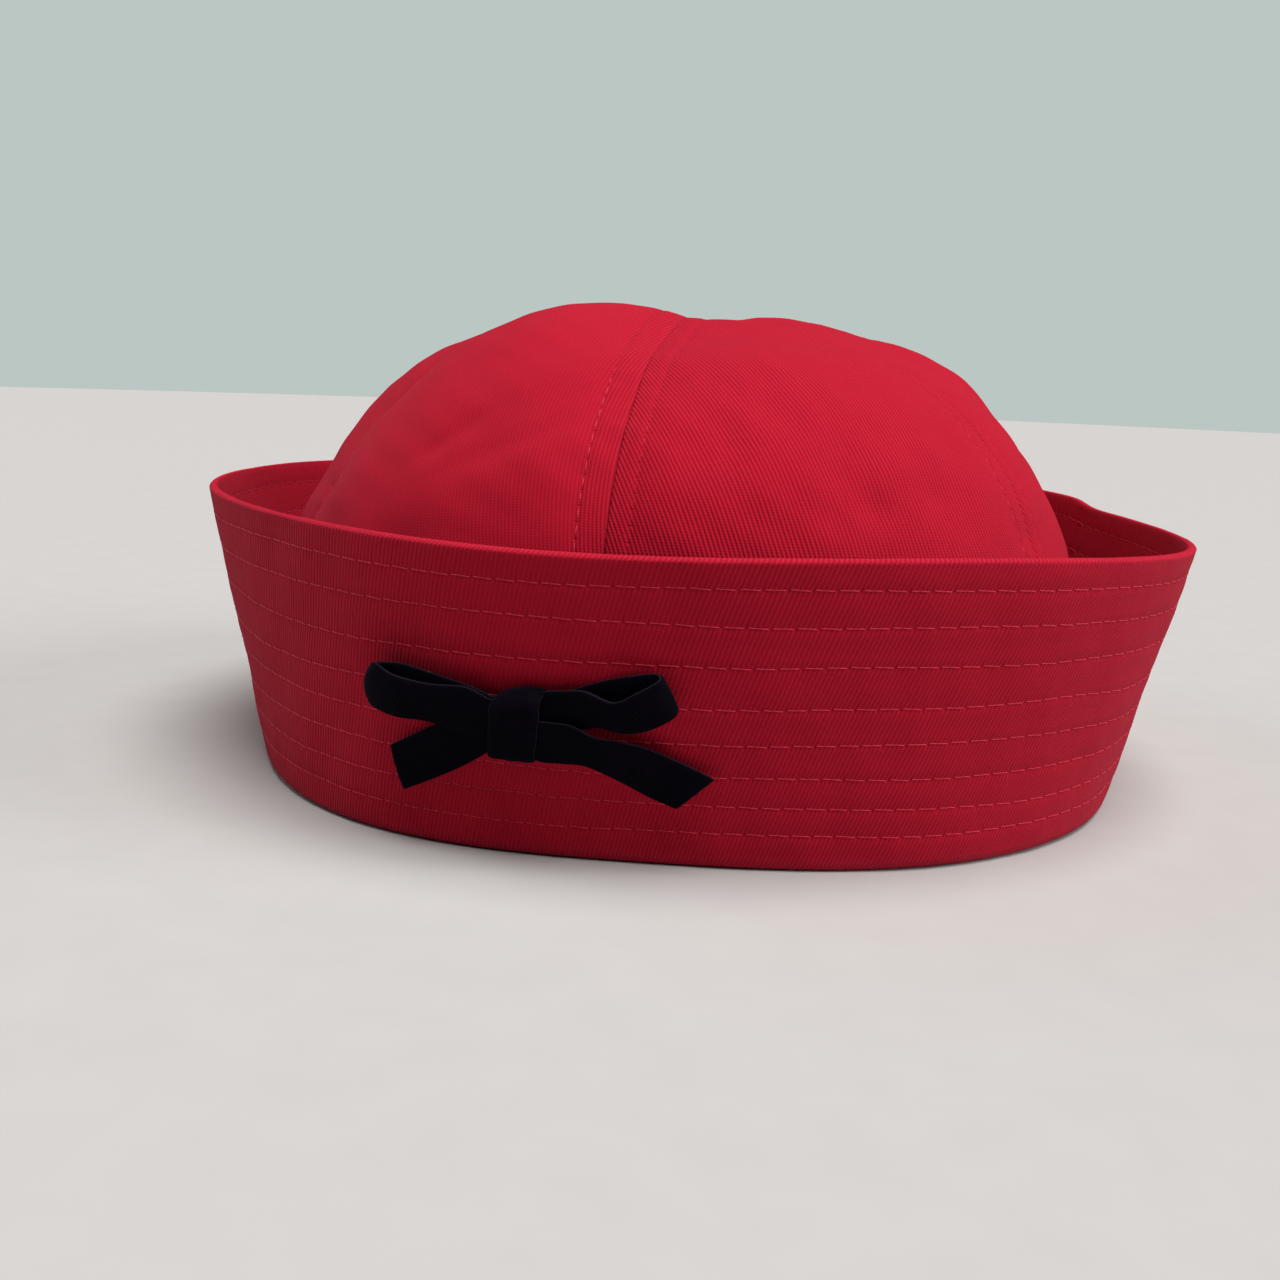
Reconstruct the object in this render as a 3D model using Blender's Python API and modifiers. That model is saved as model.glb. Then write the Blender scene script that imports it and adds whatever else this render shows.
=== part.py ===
"""A sailor cap in cotton twill, with a velvet ribbon bow on the front of its turned-up brim.

Metres, +Z up. The cap stands on the hem of its brim at z = 0. Azimuth 0 is the front seam (-Y) and
azimuth 90 points along +X. The brim is turned up from a bottom fold, and flares out to its rim. Six
cloth gores make the crown. They stand on the hem, which is turned in flat under them.
"""

import math
from collections import namedtuple

import bpy
import numpy as np

# ---- Cloth and gaps ----
BRIM_WALL = 0.0019          # two layers of twill with stiffening cloth between them
CROWN_WALL = 0.0014         # one layer of twill with its turnings
RIBBON_WALL = 0.0011        # velvet ribbon
SEAM_GAP = 0.0004           # between neighbouring gores
SEAT_GAP = 0.0006           # between the hem and the gores that stand on it
LAYER_GAP = 0.0003          # between the layers of the bow, and from the bow to the brim
FACET_ROOM = 0.00015        # what the flat facets of two neighbouring curved faces can eat of a gap

# ---- Brim ----
FOLD_BEND = 0.0023          # outer radius of the cloth's turn at the bottom fold
HEM_WIDTH = 0.0060          # from the bottom fold to the hem's inner edge
BRIM_COLUMNS = 72           # steps round the cap
BEND_STEPS = 4
WALL_STEPS = 5

# Plan of the brim, every 30 degrees: the bottom fold's radius, then the rim's radius and height.
BrimStation = namedtuple("BrimStation", "azimuth fold_radius rim_radius rim_height")
BRIM_STATIONS = [
    BrimStation(0, 0.0893, 0.1057, 0.0573),
    BrimStation(30, 0.0929, 0.1062, 0.0581),
    BrimStation(60, 0.0984, 0.1102, 0.0566),
    BrimStation(90, 0.0959, 0.1084, 0.0556),
    BrimStation(120, 0.0947, 0.1042, 0.0579),
    BrimStation(150, 0.0973, 0.1066, 0.0594),
    BrimStation(180, 0.0917, 0.1067, 0.0578),
    BrimStation(210, 0.0940, 0.1078, 0.0578),
    BrimStation(240, 0.0935, 0.1060, 0.0591),
    BrimStation(270, 0.0974, 0.1094, 0.0596),
    BrimStation(300, 0.0975, 0.1071, 0.0586),
    BrimStation(330, 0.0967, 0.1053, 0.0581),
]

# ---- Crown ----
CROWN_INSET = 0.0029        # from the bottom fold in to the crown's outer face
GORE_ANGLE = 60.0           # six equal gores
GORE_COLUMNS = 12
GORE_ROWS = 15
SLOPE_STEP = 0.001          # share of the section's length over which its slope is taken
TIP_RADIUS = 0.0009         # where the points of the gores end, round the apex
APEX_SHIFT = (0.0011, -0.0026)   # how far the top leans from the middle, in x and y
PLAN_HOLD_HEIGHT = 0.075    # above this the crown's plan no longer follows the fold's uneven ring
TOP_LENGTHENING = 0.029     # the rounder plan above is this share longer from front to back
SWELL_HEIGHT = 0.040        # the gores have swelled fully by this height
SEAM_DEPTH = 0.0010         # how far a seam is drawn in
SEAM_HALF_WIDTH = 0.0070    # reach of that draw to each side
BUMP_FULL_HEIGHT = 0.060    # soft bumps fade out below this height
BUMP_FADE_POWER = 4         # and how quickly they do

# Section of the crown from the hem to the apex: reach is the share of its mean base radius.
MeridianRow = namedtuple("MeridianRow", "height reach")
MERIDIAN = [
    MeridianRow(BRIM_WALL + SEAT_GAP, 1.0),
    MeridianRow(0.0250, 0.965),
    MeridianRow(0.0500, 0.967),
    MeridianRow(0.0658, 0.898),
    MeridianRow(0.0786, 0.781),
    MeridianRow(0.0875, 0.636),
    MeridianRow(0.0933, 0.407),
    MeridianRow(0.0967, 0.270),
    MeridianRow(0.0973, 0.0),
]

# The gores in turn: puff is how far the middle of the gore stands proud of the section above. The
# cloth of the right gore is drawn flat between its seams.
Gore = namedtuple("Gore", "name start_azimuth puff")
GORES = [
    Gore("crown_panel_front_right", 0.0, 0.0007),
    Gore("crown_panel_right", 60.0, -0.0032),
    Gore("crown_panel_back_right", 120.0, 0.0038),
    Gore("crown_panel_back_left", 180.0, 0.0024),
    Gore("crown_panel_left", 240.0, 0.0055),
    Gore("crown_panel_front_left", 300.0, 0.0020),
]

# Soft bumps and dents of the worn-in cloth: their place in plan, then their height and spread.
SoftBump = namedtuple("SoftBump", "azimuth reach height spread")
SOFT_BUMPS = [
    SoftBump(-34.5, 0.448, 0.0050, 0.022),
    SoftBump(-66.5, 0.890, -0.0032, 0.024),
    SoftBump(113.9, 0.508, 0.0045, 0.024),
]

# ---- Bow ----
BOW_AZIMUTH = -5.9          # the knot's place on the brim
BOW_HEIGHT = 0.0290         # up the brim's slant from the bottom fold
BOW_RADIUS = 0.100          # the brim's radius there, which turns a length across into an angle
RIBBON_STEPS = 3            # steps between two rows of a ribbon's table
FIRST_LAYER = LAYER_GAP + FACET_ROOM + RIBBON_WALL / 2
LAYER = RIBBON_WALL + LAYER_GAP
SECOND_LAYER = FIRST_LAYER + LAYER
THIRD_LAYER = SECOND_LAYER + LAYER
SLACK = 0.0001              # the small ease between ribbons that cross at a slant
KNOT_LAYER = THIRD_LAYER + LAYER + 2 * SLACK

# A ribbon runs from its root along a line at an angle on the developed brim (0 across to the right,
# 90 up). In each row, along is the distance from the root, side shifts the ribbon's middle square to
# that line (up is positive), lift is the distance of the ribbon's middle from the brim, width is the
# ribbon's, skew moves its upper edge on along the line and its lower edge back, half of it each, and
# tilt lifts its upper edge off the brim and lowers the other in the same way.
Ribbon = namedtuple("Ribbon", "name root_across root_up angle rows")
RibbonRow = namedtuple("RibbonRow", "along side lift width skew tilt")

LOOP_LEFT = Ribbon("bow_loop_left", -0.0008, -0.0006, 173.5, [
    RibbonRow(0.0000, 0.0000, THIRD_LAYER, 0.0048, 0.0, 0.0),
    RibbonRow(0.0045, 0.0000, THIRD_LAYER + SLACK, 0.0056, 0.0, 0.0),
    RibbonRow(0.0085, 0.0016, 0.0045, 0.0076, 0.0, 0.0),
    RibbonRow(0.0145, 0.0027, 0.0055, 0.0082, 0.0, 0.0),
    RibbonRow(0.0205, 0.0020, 0.0060, 0.0084, 0.0, 0.0),
    RibbonRow(0.0256, 0.0008, 0.0052, 0.0088, 0.0, 0.0),
    RibbonRow(0.0278, 0.0004, 0.0036, 0.0090, 0.0, 0.0),
    RibbonRow(0.0266, 0.0006, 0.0020, 0.0090, 0.0, 0.0),
    RibbonRow(0.0220, 0.0010, 0.0015, 0.0088, 0.0, 0.0),
    RibbonRow(0.0150, 0.0012, 0.0017, 0.0086, 0.0, 0.0),
    RibbonRow(0.0085, 0.0007, SECOND_LAYER - SLACK, 0.0072, 0.0, 0.0),
    RibbonRow(0.0045, 0.0002, SECOND_LAYER, 0.0058, 0.0, 0.0),
    RibbonRow(0.0000, 0.0000, SECOND_LAYER, 0.0048, 0.0, 0.0),
])
LOOP_RIGHT = Ribbon("bow_loop_right", 0.0008, 0.0000, 13.8, [
    RibbonRow(0.0000, 0.0000, SECOND_LAYER, 0.0056, 0.0, 0.0),
    RibbonRow(0.0045, 0.0005, SECOND_LAYER, 0.0066, 0.0, 0.0),
    RibbonRow(0.0085, 0.0012, 0.0027, 0.0070, 0.0, 0.0),
    RibbonRow(0.0125, 0.0010, 0.0036, 0.0068, 0.0, 0.0006),
    RibbonRow(0.0165, -0.0003, 0.0047, 0.0064, 0.0, 0.0008),
    RibbonRow(0.0208, 0.0002, 0.0053, 0.0074, 0.0, 0.0004),
    RibbonRow(0.0240, 0.0008, 0.0048, 0.0080, -0.0016, 0.0),
    RibbonRow(0.0252, 0.0010, 0.0034, 0.0080, -0.0024, 0.0),
    RibbonRow(0.0240, 0.0010, 0.0020, 0.0084, -0.0020, 0.0),
    RibbonRow(0.0205, 0.0006, 0.0014, 0.0090, -0.0008, 0.0),
    RibbonRow(0.0150, 0.0003, 0.0011, 0.0086, 0.0, 0.0),
    RibbonRow(0.0090, 0.0000, FIRST_LAYER, 0.0076, 0.0, 0.0),
    RibbonRow(0.0045, -0.0002, FIRST_LAYER, 0.0064, 0.0, 0.0),
    RibbonRow(0.0000, 0.0000, FIRST_LAYER, 0.0056, 0.0, 0.0),
])
TAIL_LEFT = Ribbon("bow_tail_left", -0.0012, -0.0014, 205.2, [
    RibbonRow(0.0000, 0.0000, FIRST_LAYER, 0.0044, 0.0, 0.0),
    RibbonRow(0.0045, 0.0009, FIRST_LAYER, 0.0044, 0.0, 0.0),
    RibbonRow(0.0095, 0.0003, FIRST_LAYER, 0.0062, 0.0, 0.0),
    RibbonRow(0.0155, 0.0000, 0.0012, 0.0078, 0.0, 0.0),
    RibbonRow(0.0215, 0.0000, 0.0016, 0.0085, -0.0012, 0.0),
    RibbonRow(0.0273, 0.0000, 0.0022, 0.0086, -0.0024, 0.0),
])
TAIL_RIGHT = Ribbon("bow_tail_right", 0.0010, -0.0018, -17.5, [
    RibbonRow(0.0000, 0.0000, THIRD_LAYER, 0.0056, 0.0, 0.0),
    RibbonRow(0.0035, 0.0009, THIRD_LAYER + SLACK, 0.0062, 0.0, 0.0),
    RibbonRow(0.0070, 0.0020, 0.0043, 0.0076, 0.0, 0.0004),
    RibbonRow(0.0110, 0.0028, 0.0046, 0.0070, 0.0, 0.0008),
    RibbonRow(0.0150, 0.0024, 0.0040, 0.0076, 0.0, 0.0008),
    RibbonRow(0.0195, 0.0014, 0.0028, 0.0080, 0.0010, 0.0004),
    RibbonRow(0.0250, 0.0004, 0.0020, 0.0082, 0.0030, 0.0),
    RibbonRow(0.0308, 0.0000, 0.0026, 0.0080, 0.0042, 0.0),
])
KNOT = Ribbon("bow_knot", 0.0, 0.0, 78.0, [
    RibbonRow(-0.0061, 0.0, FIRST_LAYER, 0.0086, -0.0018, 0.0),
    RibbonRow(-0.0064, 0.0, 0.0024, 0.0086, -0.0018, 0.0),
    RibbonRow(-0.0061, 0.0, 0.0040, 0.0086, -0.0018, 0.0),
    RibbonRow(-0.0051, 0.0, 0.0051, 0.0086, -0.0020, 0.0),
    RibbonRow(-0.0030, 0.0, KNOT_LAYER, 0.0087, -0.0026, 0.0),
    RibbonRow(-0.0004, 0.0, KNOT_LAYER + 3 * SLACK, 0.0088, -0.0033, 0.0),
    RibbonRow(0.0022, 0.0, KNOT_LAYER, 0.0087, -0.0042, 0.0),
    RibbonRow(0.0040, 0.0, 0.0051, 0.0086, -0.0048, 0.0),
    RibbonRow(0.0049, 0.0, 0.0040, 0.0086, -0.0050, 0.0),
    RibbonRow(0.0052, 0.0, 0.0024, 0.0086, -0.0050, 0.0),
    RibbonRow(0.0050, 0.0, FIRST_LAYER, 0.0086, -0.0050, 0.0),
])
RIBBONS = [LOOP_LEFT, LOOP_RIGHT, TAIL_LEFT, TAIL_RIGHT, KNOT]

# ---- Finishes ----
Finish = namedtuple("Finish", "name colour roughness")
RED_TWILL = Finish("red_twill", (0.48, 0.012, 0.035, 1.0), 0.85)
BLACK_VELVET = Finish("black_velvet", (0.006, 0.005, 0.010, 1.0), 0.95)
SHARP_ANGLE = math.radians(40)


# ---- Curves ----
def smooth_curve(keys, values, at):
    """The smooth curve through the rows (key, value), whose slopes come from each row's neighbours."""
    keys = np.asarray(keys, float)
    values = np.asarray(values, float)
    slopes = np.gradient(values, keys)
    row = np.clip(np.searchsorted(keys, at) - 1, 0, len(keys) - 2)
    step = keys[row + 1] - keys[row]
    part = (at - keys[row]) / step
    ahead = part * part * (3 - 2 * part)
    return (
        (1 - ahead) * values[row]
        + ahead * values[row + 1]
        + part * (1 - part) ** 2 * step * slopes[row]
        - part * part * (1 - part) * step * slopes[row + 1]
    )


def closed_curve(values, azimuth):
    """The smooth closed curve through evenly spaced values: the Fourier series that meets them all."""
    waves = np.fft.rfft(values) / len(values)
    angle = np.radians(azimuth)
    total = np.full(np.shape(angle), waves[0].real)
    for order, wave in enumerate(waves[1:], start=1):
        share = 1.0 if 2 * order == len(values) else 2.0
        total += share * (wave.real * np.cos(order * angle) - wave.imag * np.sin(order * angle))
    return total


def ease(value):
    """0 below 0, 1 above 1, and a smooth step between them."""
    value = np.clip(value, 0.0, 1.0)
    return value * value * (3 - 2 * value)


def in_plan(radius, azimuth):
    """The x and y of a radius at an azimuth in degrees."""
    angle = np.radians(azimuth)
    return radius * np.sin(angle), -radius * np.cos(angle)


# ---- Brim ----
def brim_ring(azimuth):
    """The fold's radius, and the rim's radius and height, at each azimuth."""
    columns = zip(*BRIM_STATIONS)
    next(columns)
    return [closed_curve(np.array(column), azimuth) for column in columns]


def brim_surface(azimuth, up):
    """Points of the brim's outer face, and its outward normals, at a distance up the slant."""
    fold_radius, rim_radius, rim_height = brim_ring(azimuth)
    flare = rim_radius - fold_radius
    slant = np.hypot(flare, rim_height)
    x, y = in_plan(fold_radius + flare * up / slant, azimuth)
    point = np.stack([x, y, rim_height * up / slant], axis=-1)
    out_x, out_y = in_plan(rim_height / slant, azimuth)
    return point, np.stack([out_x, out_y, -flare / slant], axis=-1)


def brim_grid():
    """The brim's outer face: along the flat hem, round the bottom fold and up the flared wall."""
    azimuth = np.linspace(0.0, 360.0, BRIM_COLUMNS, endpoint=False)
    fold_radius, rim_radius, rim_height = brim_ring(azimuth)
    lean = np.arctan2(rim_height, rim_radius - fold_radius)
    bend_centre = fold_radius - FOLD_BEND * np.tan(lean / 2)
    profile = [(fold_radius - HEM_WIDTH, np.zeros(BRIM_COLUMNS))]
    for step in range(BEND_STEPS + 1):
        turn = lean * step / BEND_STEPS
        profile.append((bend_centre + FOLD_BEND * np.sin(turn), FOLD_BEND * (1 - np.cos(turn))))
    bend_radius, bend_height = profile[-1]
    for step in range(1, WALL_STEPS + 1):
        share = step / WALL_STEPS
        radius = bend_radius + (rim_radius - bend_radius) * share
        profile.append((radius, bend_height + (rim_height - bend_height) * share))
    rows = []
    for radius, height in profile:
        x, y = in_plan(radius, azimuth)
        rows.append(np.stack([x, y, height], axis=-1))
    return np.stack(rows)


# ---- Crown ----
def crown_mean_radius():
    """The crown's mean outer radius at its base."""
    return sum(station.fold_radius for station in BRIM_STATIONS) / len(BRIM_STATIONS) - CROWN_INSET


def section_rows():
    """The section's rows as columns: share of its length from the hem to the apex, height, and reach."""
    heights = np.array([row.height for row in MERIDIAN])
    reaches = np.array([row.reach for row in MERIDIAN])
    steps = np.hypot(np.diff(heights), np.diff(reaches) * crown_mean_radius())
    length = np.concatenate([[0.0], np.cumsum(steps)])
    return length / length[-1], heights, reaches


def meridian(rise):
    """Height and reach of the crown's section, at a share of its length from the hem to the apex."""
    share, heights, reaches = section_rows()
    return smooth_curve(share, heights, rise), np.maximum(smooth_curve(share, reaches, rise), 0.0)


def gore_puff(azimuth):
    """The puff of the gore that each azimuth lies in."""
    gore = np.mod(np.floor(azimuth / GORE_ANGLE), len(GORES)).astype(int)
    return np.array([row.puff for row in GORES])[gore]


def crown_surface(azimuth, rise):
    """Points of the crown's outer face.

    The section's reach scales the plan, which goes from the fold's uneven ring at the base to a slightly
    long round one above. Each gore then swells between its seams, the seams are drawn in, and the soft
    bumps are added, all square to the section.
    """
    mean_radius = crown_mean_radius()
    height, reach = meridian(rise)
    height_ahead, reach_ahead = meridian(np.minimum(rise + SLOPE_STEP, 1.0))
    height_behind, reach_behind = meridian(np.maximum(rise - SLOPE_STEP, 0.0))
    height_step = height_ahead - height_behind
    radius_step = (reach_ahead - reach_behind) * mean_radius
    length = np.hypot(height_step, radius_step)
    out, upward = height_step / length, -radius_step / length

    ring = brim_ring(azimuth)[0] - CROWN_INSET
    hold = 1 - ease(height / PLAN_HOLD_HEIGHT)
    radius = (mean_radius + (ring - mean_radius) * hold) * reach
    radius *= 1 + TOP_LENGTHENING * np.cos(2 * np.radians(azimuth)) * (1 - hold)

    swell = ease(height / SWELL_HEIGHT)
    from_seam = np.abs(azimuth / GORE_ANGLE - np.round(azimuth / GORE_ANGLE))
    from_middle = 1 - 2 * from_seam
    arc = from_seam * math.radians(GORE_ANGLE) * mean_radius * reach
    stand = gore_puff(azimuth) * (1 - from_middle**2) * swell * np.sqrt(reach)
    stand -= SEAM_DEPTH * np.exp(-((arc / SEAM_HALF_WIDTH) ** 2)) * swell
    plan_x, plan_y = in_plan(reach, azimuth)
    for bump in SOFT_BUMPS:
        bump_x, bump_y = in_plan(bump.reach, bump.azimuth)
        apart = np.hypot(plan_x - bump_x, plan_y - bump_y) * mean_radius
        fade = np.clip(height / BUMP_FULL_HEIGHT, 0, 1) ** BUMP_FADE_POWER
        stand += bump.height * np.exp(-((apart / bump.spread) ** 2)) * fade

    x, y = in_plan(radius + stand * out, azimuth)
    lean = np.clip(height / MERIDIAN[-1].height, 0, 1) ** 2
    return np.stack([x + APEX_SHIFT[0] * lean, y + APEX_SHIFT[1] * lean, height + stand * upward], axis=-1)


def gore_grid(gore):
    """One gore's outer face, held half a seam gap back from the seam on either side."""
    share, _, reaches = section_rows()
    tip_rise = 1 - (1 - share[-2]) * TIP_RADIUS / (reaches[-2] * crown_mean_radius())
    rise = np.linspace(0.0, tip_rise, GORE_ROWS + 1)[:, None]
    radius = meridian(rise)[1] * crown_mean_radius()
    margin = np.degrees(SEAM_GAP / 2 / np.maximum(radius, TIP_RADIUS))
    across = np.linspace(0.0, 1.0, GORE_COLUMNS + 1)[None, :]
    azimuth = gore.start_azimuth + margin + (GORE_ANGLE - 2 * margin) * across
    return crown_surface(azimuth, rise + 0 * azimuth)


# ---- Bow ----
def on_brim(across, up, lift):
    """Points at a distance across and up from the knot's middle, and off the brim's outer face."""
    azimuth = BOW_AZIMUTH + np.degrees(across / BOW_RADIUS)
    point, normal = brim_surface(azimuth, BOW_HEIGHT + up)
    return point + normal * np.asarray(lift)[..., None]


def ribbon_grid(ribbon):
    """The middle surface of a ribbon: its table made smooth, with three points across the ribbon."""
    keys = np.arange(len(ribbon.rows))
    at = np.linspace(0, keys[-1], RIBBON_STEPS * keys[-1] + 1)
    along, side, lift, width, skew, tilt = (
        smooth_curve(keys, column, at)[:, None] for column in zip(*ribbon.rows)
    )
    edge = np.array([[-0.5, 0.0, 0.5]])
    angle = math.radians(ribbon.angle)
    upright = math.copysign(1.0, math.cos(angle))
    reach = along + skew * edge
    offset = (side + width * edge) * upright
    across = ribbon.root_across + reach * math.cos(angle) - offset * math.sin(angle)
    up = ribbon.root_up + reach * math.sin(angle) + offset * math.cos(angle)
    return on_brim(across, up, lift + tilt * edge)


# ---- Blender objects ----
def clear_scene():
    """Remove every object, and the meshes and materials they leave behind."""
    for item in list(bpy.data.objects):
        bpy.data.objects.remove(item, do_unlink=True)
    for store in (bpy.data.meshes, bpy.data.materials):
        for block in list(store):
            store.remove(block)


def cloth(finish):
    """A Principled material in the finish's colour and roughness."""
    material = bpy.data.materials.new(finish.name)
    material.use_nodes = True
    shader = material.node_tree.nodes["Principled BSDF"]
    shader.inputs["Base Color"].default_value = finish.colour
    shader.inputs["Roughness"].default_value = finish.roughness
    shader.inputs["Metallic"].default_value = 0.0
    return material


def grid_mesh(name, grid, closed):
    """A sheet of quads through a grid of points, whose rows may close into rings."""
    rows, columns = grid.shape[:2]
    index = np.arange(rows * columns).reshape(rows, columns)
    if closed:
        index = np.concatenate([index, index[:, :1]], axis=1)
    quads = np.stack([index[:-1, :-1], index[:-1, 1:], index[1:, 1:], index[1:, :-1]], axis=-1)
    mesh = bpy.data.meshes.new(name)
    mesh.from_pydata(grid.reshape(-1, 3).tolist(), [], quads.reshape(-1, 4).tolist())
    mesh.shade_smooth()
    mesh.set_sharp_from_angle(angle=SHARP_ANGLE)
    return mesh


def add_cloth_piece(collection, name, grid, wall, inward, material, closed=False):
    """A named piece: a sheet through the grid, made a wall by Solidify."""
    piece = bpy.data.objects.new(name, grid_mesh(name, grid, closed))
    piece.data.materials.append(material)
    collection.objects.link(piece)
    solidify = piece.modifiers.new("cloth_wall", "SOLIDIFY")
    solidify.thickness = wall
    solidify.offset = -1.0 if inward else 0.0
    solidify.use_even_offset = True
    return piece


def main():
    """Build the cap: the brim, the six gores of the crown, and the bow."""
    clear_scene()
    collection = bpy.data.collections.new("sailor_cap")
    bpy.context.scene.collection.children.link(collection)
    red_twill = cloth(RED_TWILL)
    black_velvet = cloth(BLACK_VELVET)
    add_cloth_piece(collection, "brim", brim_grid(), BRIM_WALL, True, red_twill, closed=True)
    for gore in GORES:
        add_cloth_piece(collection, gore.name, gore_grid(gore), CROWN_WALL, True, red_twill)
    for ribbon in RIBBONS:
        add_cloth_piece(collection, ribbon.name, ribbon_grid(ribbon), RIBBON_WALL, False, black_velvet)


main()
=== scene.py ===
"""The sailor cap dressed: stitched red cotton twill with a black velvet ribbon bow.

Metres, +Z up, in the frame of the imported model. Azimuth 0 is the front seam (-Y) and azimuth 90 points
along +X. Each piece of cloth is a surface worked out with numpy, from sizes that are its solid's or close
to them. It has the seams, stitch grooves and folds too, and it takes that solid's place.
"""

from __future__ import annotations

import logging
import math
from dataclasses import dataclass, fields
from enum import Enum

import bpy
import numpy as np
from mathutils import Matrix, Vector

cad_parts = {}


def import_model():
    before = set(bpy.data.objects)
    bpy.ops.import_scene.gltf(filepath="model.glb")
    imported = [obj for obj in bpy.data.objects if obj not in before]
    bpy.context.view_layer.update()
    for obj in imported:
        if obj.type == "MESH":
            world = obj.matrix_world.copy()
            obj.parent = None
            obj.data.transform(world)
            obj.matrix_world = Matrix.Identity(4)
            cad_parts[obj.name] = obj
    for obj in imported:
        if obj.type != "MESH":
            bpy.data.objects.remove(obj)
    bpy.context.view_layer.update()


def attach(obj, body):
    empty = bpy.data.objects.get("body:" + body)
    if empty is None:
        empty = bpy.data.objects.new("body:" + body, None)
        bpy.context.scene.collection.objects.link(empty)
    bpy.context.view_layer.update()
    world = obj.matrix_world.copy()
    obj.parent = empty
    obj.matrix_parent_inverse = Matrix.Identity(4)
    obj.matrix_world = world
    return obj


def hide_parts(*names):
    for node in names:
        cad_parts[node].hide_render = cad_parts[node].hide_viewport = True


LOG = logging.getLogger("sailor_cap")
BODY = "root"
TURN = 2.0 * math.pi
Array = np.ndarray


# ---- Curves and fields on whole arrays ----
def smooth_curve(keys: Array, values: Array, at: Array) -> Array:
    """The smooth curve through rows of a table, whose slopes come from each row's neighbours.

    Between two rows it is the cubic that meets both values and both slopes.

    Args:
        keys: where each row lies.
        values: the value of each row.
        at: where the curve is read.
    Returns:
        The curve's value at each place.
    """
    keys, values = np.asarray(keys, float), np.asarray(values, float)
    slopes = np.gradient(values, keys)
    row = np.clip(np.searchsorted(keys, at) - 1, 0, len(keys) - 2)
    step = keys[row + 1] - keys[row]
    part = (at - keys[row]) / step
    ahead = part * part * (3 - 2 * part)
    bend = part * (1 - part) * step * ((1 - part) * slopes[row] - part * slopes[row + 1])
    return (1 - ahead) * values[row] + ahead * values[row + 1] + bend


def closed_curve(values: Array, azimuth: Array) -> Array:
    """The smooth closed curve through evenly spaced values: the Fourier series that meets them all.

    Args:
        values: the values at even steps round the cap, from azimuth 0.
        azimuth: where the curve is read, in degrees.
    Returns:
        The curve's value at each azimuth.
    """
    waves = np.fft.rfft(values) / len(values)
    orders = np.arange(1, len(waves))
    shares = np.where(2 * orders == len(values), 1.0, 2.0)
    angle = np.radians(azimuth)[..., None] * orders
    turning = waves[1:].real * np.cos(angle) - waves[1:].imag * np.sin(angle)
    return waves[0].real + (shares * turning).sum(-1)


def ease(value: Array, start: float = 0.0, end: float = 1.0) -> Array:
    """0 before the start, 1 past the end, and the smooth step 3t^2 - 2t^3 between them."""
    share = np.clip((value - start) / (end - start), 0.0, 1.0)
    return share * share * (3 - 2 * share)


def bell(distance: Array, reach: float) -> Array:
    """A bump of height 1 that falls off as exp(-(distance / reach)^2)."""
    return np.exp(-((distance / reach) ** 2))


def in_plan(radius: Array, azimuth: Array) -> tuple[Array, Array]:
    """The x and y of a radius at an azimuth in degrees."""
    angle = np.radians(azimuth)
    return radius * np.sin(angle), -radius * np.cos(angle)


def at_height(radius: Array, azimuth: Array, height: Array | float) -> Array:
    """Points at a radius, an azimuth in degrees and a height."""
    x, y = in_plan(radius, azimuth)
    return np.stack([x, y, height + 0 * x], axis=-1)


def degrees_from(azimuth: Array, middle: float) -> Array:
    """Degrees round the cap from a middle azimuth, between -180 and 180."""
    return np.mod(azimuth - middle + 180.0, 360.0) - 180.0


def unit(vectors: Array) -> Array:
    """The vectors at length 1."""
    return vectors / np.maximum(np.linalg.norm(vectors, axis=-1, keepdims=True), 1e-12)


def grid_normals(points: Array) -> Array:
    """Normals of a grid of points: the cross product of its steps along the columns and the rows."""
    return unit(np.cross(np.gradient(points, axis=1), np.gradient(points, axis=0)))


@dataclass(frozen=True)
class SoftWaves:
    """Slow unevenness of worn cloth: a sum of plane waves with seeded directions, lengths and phases."""

    height: float
    shortest: float
    longest: float
    seed: int
    count: int = 10

    def at(self, place: Array) -> Array:
        """The waves' height at each place in space.

        Args:
            place: points, with x, y and z last.
        Returns:
            The sum of cos(2 pi * distance along each direction / its length + its phase), scaled so that
            its usual size is the height.
        """
        random = np.random.default_rng(self.seed)
        lengths = random.uniform(self.shortest, self.longest, self.count)
        directions = unit(random.normal(size=(self.count, 3))) * (TURN / lengths)[:, None]
        phases = random.uniform(0, TURN, self.count)
        return self.height * np.cos(place @ directions.T + phases).sum(-1) * math.sqrt(2 / self.count)


# ---- Meshes from grids ----
def at_corners(place: Array) -> Array:
    """What a grid holds at its points, read at the corners of each of its faces.

    Args:
        place: what it holds, with rows and columns as the first two axes.
    Returns:
        The same for each face, with its four corners in order as the third axis.
    """
    ahead, behind = slice(1, None), slice(None, -1)
    corners = ((behind, behind), (behind, ahead), (ahead, ahead), (ahead, behind))
    return np.stack([place[corner] for corner in corners], axis=2)


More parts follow.
